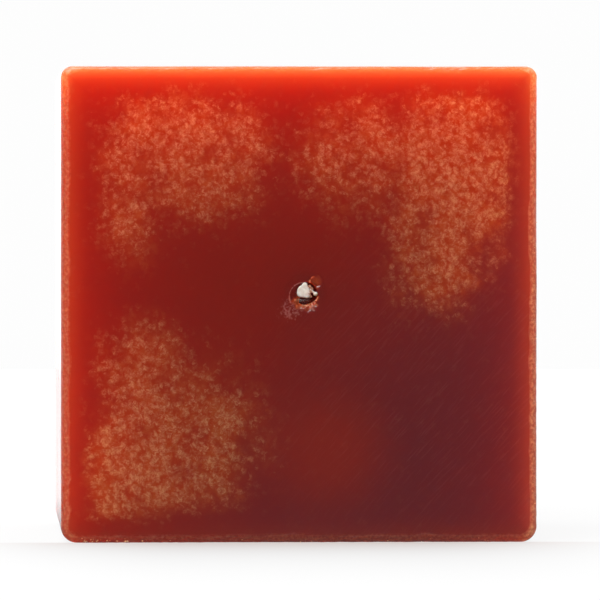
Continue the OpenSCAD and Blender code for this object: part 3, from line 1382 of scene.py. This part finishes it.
@dataclass
class PlaitedWick:
    """Three strands of twisted yarn, plaited flat, that run through the pin hole.

    Attributes:
        strand_d_mm: Diameter of a strand.
        strand_gap_mm: Gap between strands.
        plait_pitch_mm: Length of one turn of the plait.
        plait_start_deg: Turn of the plait at its start.
        inset_mm: How far inside the base the strands start.
        tail_lean_mm: How far the tail leans sideways at its tip.
        tail_droop_mm: How far the tail droops at its tip.
        lean_mm: How far the wick lies from the middle of the hole at the base.
        lean_deg: Direction in which it lies there.
        yarns: Yarns in a strand.
        yarn_pitch_mm: Length of one turn of the yarns.
        covered_mm: How far the strands start behind the sealed end.
        tip_room_mm: How far the strands end before the end of their CAD nodes.
    """

    strand_d_mm: float = 0.84
    strand_gap_mm: float = 0.04
    plait_pitch_mm: float = 8.0
    plait_start_deg: float = 90.0
    inset_mm: float = 0.3
    tail_lean_mm: float = 1.2
    tail_droop_mm: float = 0.8
    lean_mm: float = 0.46
    lean_deg: float = 135.0
    yarns: int = 7
    yarn_pitch_mm: float = 4.2
    covered_mm: float = 0.5
    tip_room_mm: float = 0.34

    def middle(self, block: WaxBlock, y: float, tail: float) -> Vector:
        """Middle of the wick at y.

        Args:
            block: The block that the wick runs through.
            y: Distance from the base, in millimetres.
            tail: Length of the tail, in millimetres.

        Returns:
            The place in the frame, in millimetres.
        """
        length = block.high_mm[1] - block.low_mm[1]
        hole_x, hole_z = block.hole_mm
        if y <= length:
            lean = self.lean_mm * (1.0 - y / length)
            angle = math.radians(self.lean_deg)
            return Vector((hole_x + lean * math.cos(angle), block.low_mm[1] + y,
                           hole_z + lean * math.sin(angle)))
        out = ((y - length) / tail) ** 2
        return Vector((hole_x + self.tail_lean_mm * out, block.low_mm[1] + y,
                       hole_z - self.tail_droop_mm * out))

    def strand_path(self, block: WaxBlock, turn_deg: float, tip_y: float) -> list[Vector]:
        """Route of one strand, closer together where it shows.

        Args:
            block: The block that the wick runs through.
            turn_deg: Place of the strand in the plait.
            tip_y: Where the wick ends, from the base, in millimetres.

        Returns:
            Places in millimetres.
        """
        length = block.high_mm[1] - block.low_mm[1]
        spacing = self.strand_d_mm + self.strand_gap_mm
        shown = [self.inset_mm + self.covered_mm + 0.18 * i for i in range(28)]
        hidden = list(np.arange(shown[-1] + 0.5, length - 1.5, 0.5))
        tail = list(np.linspace(length - 1.4, tip_y - self.tip_room_mm, 64))
        route = []
        for y in (*shown, *hidden, *tail):
            swing = math.radians(
                self.plait_start_deg + 360.0 * (y - self.inset_mm) / self.plait_pitch_mm + turn_deg
            )
            swung = Vector((0.63 * spacing * math.sin(2.0 * swing), 0.0, spacing * math.sin(swing)))
            route.append(self.middle(block, y, tip_y - length) + swung)
        return route

    def build(self, block: WaxBlock, material: bpy.types.Material) -> list[bpy.types.Object]:
        """Build the three strands.

        Args:
            block: The block that the wick runs through.
            material: Finish of the yarn.

        Returns:
            One object for each strand.
        """
        made = []
        for number in (1, 2, 3):
            node = f"wick_strand_{number}"
            tip_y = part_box(node)[1].y / MM - block.low_mm[1]
            route = self.strand_path(block, 120.0 * (number - 1), tip_y)
            strand = twisted_yarn(
                f"{node}_yarns", route, self.yarns, self.strand_d_mm / 3.0, self.strand_d_mm / 5.6,
                self.yarn_pitch_mm, material,
            )
            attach(strand, "root")
            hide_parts(node)
            made.append(strand)
        return made


@dataclass
class FrayedYarn:
    """A yarn that has worked loose beside the wick, with a bead of wax on its end.

    Places are x and z from the middle of the pin hole.

    Attributes:
        yarn_d_mm: Diameter of the yarn.
        bead_d_mm: Diameter of the bead.
        depth_mm: How deep the yarn starts.
        start_mm: Where it comes up.
        bead_mm: Middle of the bead.
        bead_in_mm: How far the middle of the bead lies inside the base.
        bend: Share of the way to the bead that the bend takes, and its rise in millimetres.
        stubs_mm: Place of each stub beside it, and how far it is set back from the base.
    """

    yarn_d_mm: float = 0.36
    bead_d_mm: float = 0.68
    depth_mm: float = 3.0
    start_mm: tuple[float, float] = (0.62, 0.84)
    bead_mm: tuple[float, float] = (1.56, -0.06)
    bead_in_mm: float = 0.38
    bend: float = 0.38
    stubs_mm: tuple[tuple[float, float, float], ...] = (
        (0.66, 1.12, 0.14), (0.98, 0.78, 0.26), (0.86, 0.36, 0.2), (0.6, -0.06, 0.16), (0.78, -0.42, 0.3),
    )

    def route(self, block: WaxBlock) -> list[Vector]:
        """Route of the loose yarn: up beside the wick, then over the hollow to its bead.

        Args:
            block: The block whose pin hole the yarn lies in.

        Returns:
            Places in millimetres.
        """
        hole_x, hole_z = block.hole_mm
        start = Vector((hole_x + self.start_mm[0], 0.0, hole_z + self.start_mm[1]))
        across = Vector((self.bead_mm[0] - self.start_mm[0], 0.0, self.bead_mm[1] - self.start_mm[1]))
        bead_y = block.low_mm[1] + self.bead_in_mm
        route = [start + Vector((0.0, block.low_mm[1] + self.depth_mm - 0.3 * i, 0.0)) for i in range(8)]
        for step in range(9):
            angle = 0.5 * math.pi * step / 8.0
            route.append(start + across * self.bend * (1.0 - math.cos(angle))
                         + Vector((0.0, bead_y + self.bend * (1.0 - math.sin(angle)), 0.0)))
        for share in (0.55, 0.7, 0.85, 1.0):
            route.append(start + across * share + Vector((0.0, bead_y, 0.06 * math.sin(9.0 * share))))
        return route

    def stubs(self, block: WaxBlock) -> list[list[Vector]]:
        """Routes of the yarns beside it, which were cut short and soaked up dyed wax.

        Args:
            block: The block whose pin hole they stand in.

        Returns:
            The routes, each a list of places in millimetres.
        """
        hole_x, hole_z = block.hole_mm
        routes = []
        for x, z, set_back in self.stubs_mm:
            ys = [set_back + 0.24 * step for step in range(9)]
            routes.append([
                Vector((hole_x + x - 0.03 * y, block.low_mm[1] + y, hole_z + z - 0.02 * y)) for y in ys
            ])
        return routes

    def build(self, block: WaxBlock, cotton: bpy.types.Material, soaked: bpy.types.Material,
              wax: bpy.types.Material) -> list[bpy.types.Object]:
        """Build the yarn, its neighbours and its bead.

        Args:
            block: The block whose pin hole the yarn lies in.
            cotton: Finish of the yarn.
            soaked: Finish of the yarns beside it.
            wax: Finish of the bead.

        Returns:
            The pieces.
        """
        route = self.route(block)
        yarn = twisted_yarn(
            "frayed_yarn_plies", route, 3, self.yarn_d_mm * 0.24, self.yarn_d_mm * 0.26, 1.4, cotton,
        )
        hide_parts("frayed_yarn")
        made = [yarn]
        for number, stub_route in enumerate(self.stubs(block), start=1):
            stub = twisted_yarn(
                f"soaked_yarn_{number}", stub_route, 4, self.yarn_d_mm * 0.36, self.yarn_d_mm * 0.34,
                1.6, soaked,
            )
            made.append(stub)
        bead = lump("frayed_yarn_bead", route[-1], self.bead_d_mm / 2.0 * 1.08, 0.16, 3)
        bead.data.materials.append(wax)
        made.append(bead)
        for piece in made:
            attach(piece, "root")
        return made


@dataclass
class Crumbs:
    """Loose flakes of wax on the rim of the base and in the chipped mouth of the hole.

    Attributes:
        rim_count: Flakes along the lower rim and up the right-hand one.
        corner_count: Flakes by the left end of the lower rim.
        mouth_count: Flakes in the mouth of the hole.
        seed: Seed of their places and shapes.
    """

    rim_count: int = 70
    corner_count: int = 60
    mouth_count: int = 12
    seed: int = 11

    def places(self, block: WaxBlock) -> tuple[list[Vector], list[float]]:
        """Places of the flakes: thickest along the lower rim, by its left corner.

        Args:
            block: The block that they lie on.

        Returns:
            Places and radii, in millimetres.
        """
        draw = random.Random(self.seed)
        low, high = block.low_mm, block.high_mm
        places, radii = [], []

        def drop(x: float, y: float, z: float, radius: float) -> None:
            """Add one flake, moved inside the sides of the block."""
            room = 1.6 * radius
            places.append(Vector((min(max(x, low[0] + room), high[0] - room), max(y, low[1] + room),
                                  min(max(z, low[2] + room), high[2] - room))))
            radii.append(radius)

        for _ in range(self.corner_count):
            drop(low[0] + 2.6 + abs(draw.gauss(0.0, 4.2)), low[1] + draw.uniform(0.15, 0.8),
                 low[2] + draw.uniform(0.15, 0.85), draw.uniform(0.05, 0.17))
        for _ in range(self.rim_count):
            if draw.random() < 0.6:
                drop(draw.uniform(low[0] + 4.0, high[0] - 4.0), low[1] + draw.uniform(0.1, 0.7),
                     low[2] + draw.uniform(0.1, 0.7), draw.uniform(0.03, 0.08))
            else:
                drop(high[0] - draw.uniform(0.1, 0.6), low[1] + draw.uniform(0.1, 0.6),
                     draw.uniform(low[2] + 4.0, high[2] - 3.0), draw.uniform(0.03, 0.08))
        for _ in range(self.mouth_count):
            angle, out = math.radians(draw.gauss(282.0, 20.0)), draw.uniform(1.8, 2.15)
            drop(block.hole_mm[0] + out * math.cos(angle), low[1] + draw.uniform(0.2, 0.45),
                 block.hole_mm[1] + out * math.sin(angle), draw.uniform(0.05, 0.12))
        return places, radii

    def build(self, block: WaxBlock, material: bpy.types.Material) -> bpy.types.Object:
        """Scatter the flakes and turn them into one plain mesh.

        Args:
            block: The block that they lie on.
            material: Finish of the flakes.

        Returns:
            The flakes.
        """
        places, radii = self.places(block)
        spots = mesh_object("wax_crumbs_spots", np.array([tuple(place) for place in places]) * MM, [])
        size = spots.data.attributes.new(Layer.ALONG.value, "FLOAT", "POINT")
        size.data.foreach_set("value", [radius * MM for radius in radii])
        modifier = spots.modifiers.new("crumbs", "NODES")
        modifier.node_group = crumb_tree()
        values = {"Seed": self.seed, "Material": material}
        for item in modifier.node_group.interface.items_tree:
            if item.in_out == "INPUT" and item.name in values:
                modifier[item.identifier] = values[item.name]
        graph = bpy.context.evaluated_depsgraph_get()
        mesh = bpy.data.meshes.new_from_object(spots.evaluated_get(graph), depsgraph=graph)
        mesh.name = "wax_crumbs"
        made = bpy.data.objects.new("wax_crumbs", mesh)
        bpy.context.collection.objects.link(made)
        bpy.data.objects.remove(spots)
        return made


def crumb_tree() -> bpy.types.GeometryNodeTree:
    """Build the node tree that puts an uneven flake on each point.

    Returns:
        The tree, with inputs for the seed and the material.
    """
    tree = bpy.data.node_groups.new("scattered_crumbs", "GeometryNodeTree")
    face = tree.interface
    face.new_socket("Geometry", in_out="INPUT", socket_type="NodeSocketGeometry")
    face.new_socket("Seed", in_out="INPUT", socket_type="NodeSocketInt")
    face.new_socket("Material", in_out="INPUT", socket_type="NodeSocketMaterial")
    face.new_socket("Geometry", in_out="OUTPUT", socket_type="NodeSocketGeometry")
    given = add_node(tree, "NodeGroupInput")
    flake = add_node(tree, "GeometryNodeMeshIcoSphere", {"Radius": 1.0, "Subdivisions": 2})
    size = add_node(
        tree, "GeometryNodeInputNamedAttribute", {"Name": Layer.ALONG.value}, data_type="FLOAT",
    )
    turn = add_node(
        tree, "FunctionNodeRandomValue",
        {"Min": (0.0, 0.0, 0.0), "Max": (TURN, TURN, TURN), "Seed": given.outputs["Seed"]},
        data_type="FLOAT_VECTOR",
    )
    stretch = add_node(
        tree, "FunctionNodeRandomValue",
        {"Min": (0.5, 0.7, 0.6), "Max": (1.0, 1.5, 1.2), "Seed": given.outputs["Seed"]},
        data_type="FLOAT_VECTOR",
    )
    scale = add_node(
        tree, "ShaderNodeVectorMath", {0: stretch, "Scale": size.outputs["Attribute"]},
        operation="SCALE",
    )
    placed = add_node(
        tree, "GeometryNodeInstanceOnPoints",
        {"Points": given.outputs["Geometry"], "Instance": flake.outputs["Mesh"],
         "Rotation": add_node(tree, "FunctionNodeEulerToRotation", {0: turn}), "Scale": scale},
    )
    real = add_node(tree, "GeometryNodeRealizeInstances", {"Geometry": placed})
    uneven = add_node(tree, "ShaderNodeTexNoise", {"Scale": 6000.0, "Detail": 2.0})
    offset = add_node(
        tree, "ShaderNodeVectorMath", {0: uneven.outputs["Color"], 1: (0.5, 0.5, 0.5)},
        operation="SUBTRACT",
    )
    pushed = add_node(
        tree, "ShaderNodeVectorMath", {0: offset, "Scale": 0.12 * MM}, operation="SCALE",
    )
    rough = add_node(tree, "GeometryNodeSetPosition", {"Geometry": real, "Offset": pushed})
    dressed = add_node(
        tree, "GeometryNodeSetMaterial", {"Geometry": rough, "Material": given.outputs["Material"]},
    )
    add_node(tree, "NodeGroupOutput", {"Geometry": dressed})
    return tree


def lump(name: str, middle: Vector, radius_mm: float, uneven: float, seed: int) -> bpy.types.Object:
    """Make a small rounded lump.

    Args:
        name: Name of the object.
        middle: Its middle, in millimetres.
        radius_mm: Its largest radius.
        uneven: Share of the radius that its dimples take away.
        seed: Shift of the dimples.

    Returns:
        The lump.
    """
    rows, columns = 14, 20
    verts, faces = [], []
    for row in range(rows + 1):
        polar = math.pi * row / rows
        for column in range(columns if 0 < row < rows else 1):
            turn = TURN * column / columns
            level = math.sin(polar)
            way = Vector((level * math.cos(turn), math.cos(polar), level * math.sin(turn)))
            dimple = 0.5 + 0.5 * noise.noise(way * 1.7 + Vector((seed, 0.0, 0.0)))
            verts.append(np.array(middle + way * radius_mm * (1.0 - uneven * dimple)) * MM)
    for column in range(columns):
        after = (column + 1) % columns
        faces.append((0, 1 + after, 1 + column))
        last = 1 + (rows - 2) * columns
        faces.append((last + columns, last + column, last + after))
        for row in range(rows - 2):
            a, b = 1 + row * columns + column, 1 + row * columns + after
            faces.append((a, b, b + columns, a + columns))
    return mesh_object(name, np.array(verts), faces)


def yarn_tree() -> bpy.types.GeometryNodeTree:
    """Build the node tree that lays twisted yarns round a path.

    Returns:
        The tree, with inputs for the number, sizes and twist of the yarns.
    """
    tree = bpy.data.node_groups.new("twisted_yarns", "GeometryNodeTree")
    face = tree.interface
    face.new_socket("Geometry", in_out="INPUT", socket_type="NodeSocketGeometry")
    face.new_socket("Yarns", in_out="INPUT", socket_type="NodeSocketInt")
    for name in ("Lay Radius", "Yarn Radius", "Turn Length"):
        face.new_socket(name, in_out="INPUT", socket_type="NodeSocketFloat")
    face.new_socket("Material", in_out="INPUT", socket_type="NodeSocketMaterial")
    face.new_socket("Geometry", in_out="OUTPUT", socket_type="NodeSocketGeometry")
    given = add_node(tree, "NodeGroupInput")
    copies = add_node(
        tree, "GeometryNodeDuplicateElements",
        {"Geometry": given.outputs["Geometry"], "Amount": given.outputs["Yarns"]}, domain="SPLINE",
    )
    share = calculate(tree, "DIVIDE", copies.outputs["Duplicate Index"], given.outputs["Yarns"])
    travel = add_node(tree, "GeometryNodeSplineParameter")
    turned = calculate(tree, "DIVIDE", travel.outputs["Length"], given.outputs["Turn Length"])
    turns = calculate(tree, "ADD", share, turned)
    angle = calculate(tree, "MULTIPLY", turns, TURN)
    tangent = add_node(tree, "GeometryNodeInputTangent")
    spin = add_node(
        tree, "ShaderNodeVectorRotate",
        {"Vector": add_node(tree, "GeometryNodeInputNormal").outputs[0], "Axis": tangent,
         "Angle": angle},
    )
    offset = add_node(
        tree, "ShaderNodeVectorMath", {0: spin, "Scale": given.outputs["Lay Radius"]},
        operation="SCALE",
    )
    laid = add_node(
        tree, "GeometryNodeSetPosition", {"Geometry": copies.outputs["Geometry"], "Offset": offset},
    )
    kept = add_node(
        tree, "GeometryNodeStoreNamedAttribute",
        {"Geometry": laid, "Name": Layer.ALONG.value, "Value": travel.outputs["Length"]},
        domain="POINT", data_type="FLOAT",
    )
    profile = add_node(
        tree, "GeometryNodeCurvePrimitiveCircle",
        {"Resolution": 9, "Radius": given.outputs["Yarn Radius"]},
    )
    marked = add_node(
        tree, "GeometryNodeStoreNamedAttribute",
        {"Geometry": profile, "Name": Layer.AROUND.value,
         "Value": add_node(tree, "GeometryNodeSplineParameter").outputs["Factor"]},
        domain="POINT", data_type="FLOAT",
    )
    tube = add_node(
        tree, "GeometryNodeCurveToMesh",
        {"Curve": kept, "Profile Curve": marked, "Fill Caps": True},
    )
    smooth = add_node(tree, "GeometryNodeSetShadeSmooth", {"Geometry": tube})
    real = add_node(tree, "GeometryNodeRealizeInstances", {"Geometry": smooth})
    dressed = add_node(
        tree, "GeometryNodeSetMaterial", {"Geometry": real, "Material": given.outputs["Material"]},
    )
    add_node(tree, "NodeGroupOutput", {"Geometry": dressed})
    return tree


def twisted_yarn(name: str, route: Sequence[Vector], yarns: int, lay_mm: float, yarn_mm: float,
                 turn_mm: float, material: bpy.types.Material) -> bpy.types.Object:
    """Lay yarns round a route and turn the result into a plain mesh.

    Args:
        name: Name of the piece.
        route: Places that the yarns follow, in millimetres.
        yarns: How many yarns there are.
        lay_mm: How far each yarn lies from the route.
        yarn_mm: Radius of one yarn.
        turn_mm: Length of one turn of the twist.
        material: Finish of the yarns.

    Returns:
        The piece.
    """
    curve = bpy.data.curves.new(f"{name}_route", "CURVE")
    curve.dimensions = "3D"
    spline = curve.splines.new("POLY")
    spline.points.add(len(route) - 1)
    for spot, place in zip(spline.points, route):
        spot.co = (*(place * MM), 1.0)
    holder = bpy.data.objects.new(f"{name}_route", curve)
    bpy.context.collection.objects.link(holder)
    tree = bpy.data.node_groups.get("twisted_yarns") or yarn_tree()
    modifier = holder.modifiers.new("twist", "NODES")
    modifier.node_group = tree
    values = {"Yarns": yarns, "Lay Radius": lay_mm * MM, "Yarn Radius": yarn_mm * MM,
              "Turn Length": turn_mm * MM, "Material": material}
    for item in tree.interface.items_tree:
        if item.in_out == "INPUT" and item.name in values:
            modifier[item.identifier] = values[item.name]
    graph = bpy.context.evaluated_depsgraph_get()
    mesh = bpy.data.meshes.new_from_object(holder.evaluated_get(graph), depsgraph=graph)
    mesh.name = name
    made = bpy.data.objects.new(name, mesh)
    bpy.context.collection.objects.link(made)
    bpy.data.objects.remove(holder)
    return made


# ---------------------------------------------------------------------------------------------
# Studio
# ---------------------------------------------------------------------------------------------


@dataclass(frozen=True)
class SoftBox:
    """A square or oblong studio light.

    Attributes:
        name: What it lights.
        place: Where it hangs, in metres.
        size: Its width and height.
        power: Its power in watts.
    """

    name: str
    place: tuple[float, float, float]
    size: tuple[float, float]
    power: float


@dataclass
class Studio:
    """White table top, plain white surroundings, soft boxes and the camera.

    Attributes:
        floor_radius: Radius of the table top, in metres.
        camera_left: How far the camera stands to the left, in metres.
        camera_height: Its height above the table, in metres.
        camera_distance: Its distance from the base, in metres.
        lens_mm: Focal length.
        sensor_mm: Width of the sensor.
        aim_right_mm: How far to the right of the middle of the base it looks.
        aim_up_mm: How far above that middle it looks.
        shade: Reach in metres and strength of the shade in front of the candle.
        blush: Reach in metres and strength of the red light in that shade.
        lights: The soft boxes.
    """

    floor_radius: float = 1.15
    camera_left: float = 0.052
    camera_height: float = 0.056
    camera_distance: float = 1.24
    lens_mm: float = 473.6
    sensor_mm: float = 36.0
    aim_right_mm: float = 0.11
    aim_up_mm: float = 0.71
    shade: tuple[float, float] = (0.047, 0.27)
    blush: tuple[float, float] = (0.014, 0.9)
    lights: tuple[SoftBox, ...] = (
        SoftBox("top", (-0.05, 0.12, 0.70), (0.9, 0.6), 6.7),
        SoftBox("front", (-0.3, -0.75, 0.95), (0.7, 0.5), 14.0),
        SoftBox("left", (-0.9, 0.05, 0.05), (0.6, 0.1), 0.35),
        SoftBox("right", (0.9, 0.2, 0.08), (0.5, 0.16), 4.0),
        SoftBox("low_left", (-0.12, -0.01, 0.012), (0.09, 0.012), 0.032),
    )

    def build(self) -> None:
        """Set up the surroundings, the floor, the lights and the camera."""
        scene = bpy.context.scene
        scene.view_settings.view_transform = "Standard"
        scene.world = self.surroundings()
        self.floor()
        for light in self.lights:
            self.hang(light)
        self.camera()

    def surroundings(self) -> bpy.types.World:
        """Make plain white surroundings that light the object only from behind and above.

        Returns:
            The world.
        """
        world = bpy.data.worlds.new("white_room")
        world.use_nodes = True
        tree = world.node_tree
        tree.nodes.clear()
        way = add_node(tree, "ShaderNodeTexCoord").outputs["Generated"]
        split = add_node(tree, "ShaderNodeSeparateXYZ", {0: way})
        behind = remap(tree, split.outputs["Y"], (-0.1, 0.9), (0.12, 1.7), interpolation_type="SMOOTHSTEP")
        rays = add_node(tree, "ShaderNodeLightPath")
        seen = add_node(tree, "ShaderNodeBackground", {"Color": linear("#ffffff"), "Strength": 0.985})
        lit = add_node(tree, "ShaderNodeBackground", {"Color": linear("#ffffff"), "Strength": behind})
        mixed = add_node(
            tree, "ShaderNodeMixShader", {0: rays.outputs["Is Camera Ray"], 1: lit, 2: seen},
        )
        add_node(tree, "ShaderNodeOutputWorld", {"Surface": mixed})
        return world

    def floor(self) -> None:
        """Lay the round white table top, lit from below so that it stays white to its rim, with painted shade
        near the candle.
        """
        rim = 96
        verts = [(0.0, 0.0, 0.0)] + [
            (self.floor_radius * math.cos(TURN * i / rim), self.floor_radius * math.sin(TURN * i / rim), 0.0)
            for i in range(rim)
        ]
        floor = mesh_object("table_top", np.array(verts), [(0, 1 + i, 1 + (i + 1) % rim) for i in range(rim)])
        material = bpy.data.materials.new("paper_white_matt")
        material.use_nodes = True
        tree = material.node_tree
        tree.nodes.clear()
        place = add_node(tree, "ShaderNodeTexCoord").outputs["Object"]
        far = add_node(tree, "ShaderNodeVectorMath", {0: place}, operation="LENGTH")
        # Painted shade: the table's own light is dimmer near the candle.
        glow = remap(
            tree, far.outputs["Value"], (0.08, 0.7), (0.885, 0.97), interpolation_type="SMOOTHSTEP",
        )
        lit = add_node(tree, "ShaderNodeBsdfDiffuse", {"Color": (0.06, 0.06, 0.06, 1.0)})
        shade, blush = self.foreground(tree, place)
        dimmed = calculate(tree, "SUBTRACT", glow, shade)
        tint = add_node(
            tree, "ShaderNodeMix", {"Factor_Float": blush, "A_Color": linear("#ffffff"),
                                    "B_Color": (1.0, 0.86, 0.82, 1.0)}, data_type="RGBA",
        )
        own = add_node(tree, "ShaderNodeEmission", {"Color": tint, "Strength": dimmed})
        both = add_node(tree, "ShaderNodeAddShader", {0: lit, 1: own})
        behind = remap(
            tree, add_node(tree, "ShaderNodeSeparateXYZ", {0: place}).outputs["Y"], (-0.05, 0.15),
            (0.15, 1.0),
        )
        rays = add_node(tree, "ShaderNodeLightPath")
        glossier = calculate(tree, "MULTIPLY_ADD", rays.outputs["Is Glossy Ray"], 0.4, 1.0)
        unseen = calculate(tree, "MULTIPLY", behind, glossier)
        dim = add_node(tree, "ShaderNodeEmission", {"Color": linear("#ffffff"), "Strength": unseen})
        mixed = add_node(
            tree, "ShaderNodeMixShader", {0: rays.outputs["Is Camera Ray"], 1: dim, 2: both},
        )
        add_node(tree, "ShaderNodeOutputMaterial", {"Surface": mixed})
        floor.data.materials.append(material)

    def foreground(self, tree: Any, place: Any) -> tuple[Any, Any]:
        """Soft shade on the table in front of the candle, with red light in it near the wax.

        Args:
            tree: Node tree of the table top.
            place: Output that gives the place in metres.

        Returns:
            Nodes whose outputs are the shade and the share of red light.
        """
        low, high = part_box("wax_body")
        split = add_node(tree, "ShaderNodeSeparateXYZ", {0: place})
        ahead = calculate(tree, "SUBTRACT", low.y, split.outputs["Y"])
        outside = calculate(tree, "MAXIMUM", ahead, 0.0)
        aside = calculate(tree, "ABSOLUTE", split.outputs["X"])
        across = remap(tree, aside, (high.x + 0.02, high.x - 0.02), interpolation_type="SMOOTHSTEP")
        in_front = remap(tree, ahead, (-0.004, 0.0))
        window = calculate(tree, "MULTIPLY", across, in_front)
        parts = []
        for length, most in (self.shade, self.blush):
            scaled = calculate(tree, "MULTIPLY", outside, -1.0 / length)
            falling = calculate(tree, "EXPONENT", scaled)
            share = calculate(tree, "MULTIPLY", falling, most)
            parts.append(calculate(tree, "MULTIPLY", share, window))
        return parts[0], parts[1]

    def hang(self, light: SoftBox) -> None:
        """Hang one soft box so that it faces the object.

        Args:
            light: The soft box.
        """
        lamp = bpy.data.lights.new(f"soft_box_{light.name}", "AREA")
        lamp.shape = "RECTANGLE"
        lamp.size, lamp.size_y = light.size
        lamp.energy = light.power
        made = bpy.data.objects.new(lamp.name, lamp)
        bpy.context.collection.objects.link(made)
        made.location = light.place
        toward = Vector((0.0, 0.0, min(0.04, light.place[2]))) - Vector(light.place)
        made.rotation_euler = toward.to_track_quat("-Z", "Y").to_euler()
        made.visible_camera = False
        made.visible_glossy = light.place[2] > 0.1

    def camera(self) -> None:
        """Place the camera a little left of the wick and above the middle of the base."""
        low, high = (Vector(corner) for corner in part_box("wax_body"))
        face = Vector(((low.x + high.x) / 2.0, low.y, (low.z + high.z) / 2.0))
        aim = face + Vector((self.aim_right_mm * MM, 0.0, self.aim_up_mm * MM))
        lens = bpy.data.cameras.new("camera")
        lens.lens, lens.sensor_width = self.lens_mm, self.sensor_mm
        lens.clip_start, lens.clip_end = 0.01, 50.0
        made = bpy.data.objects.new("camera", lens)
        bpy.context.collection.objects.link(made)
        made.location = (-self.camera_left, low.y - self.camera_distance, self.camera_height)
        made.rotation_euler = (aim - made.location).to_track_quat("-Z", "Y").to_euler()
        bpy.context.scene.camera = made


def main() -> None:
    """Build the studio and each piece of the candle, in order."""
    logging.basicConfig(level=logging.INFO, format="%(name)s: %(message)s")
    Studio().build()
    block = WaxBlock()
    wax = block.build()
    wax.data.materials.append(MottledWax().make(block))
    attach(wax, "root")
    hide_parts("wax_body")
    LOG.info("%s: %d faces", wax.name, len(wax.data.polygons))
    cotton = PrimedCotton(dyed_to_m=(block.high_mm[1] + 1.2) * MM).make()
    sealed = PrimedCotton("cotton_end_sealed_wax", lit="#fff2e8", deep="#f6d8c6").make()
    soaked = PrimedCotton("cotton_soaked_dyed_wax", lit="#f0b898", deep="#c07450").make()
    clear = ClearWax().make()
    end = block.end.build(block, sealed)
    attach(end, "root")
    LOG.info("%s: %d faces", end.name, len(end.data.polygons))
    for strand in PlaitedWick().build(block, cotton):
        LOG.info("%s: %d faces", strand.name, len(strand.data.polygons))
    for piece in FrayedYarn().build(block, sealed, soaked, clear):
        LOG.info("%s: %d faces", piece.name, len(piece.data.polygons))
    flakes = ClearWax("wax_flaked_dyed", milk="#ffc698", amber="#e0703a").make()
    crumbs = Crumbs().build(block, flakes)
    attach(crumbs, "root")
    LOG.info("%s: %d faces", crumbs.name, len(crumbs.data.polygons))


if __name__ == "__main__":
    main()
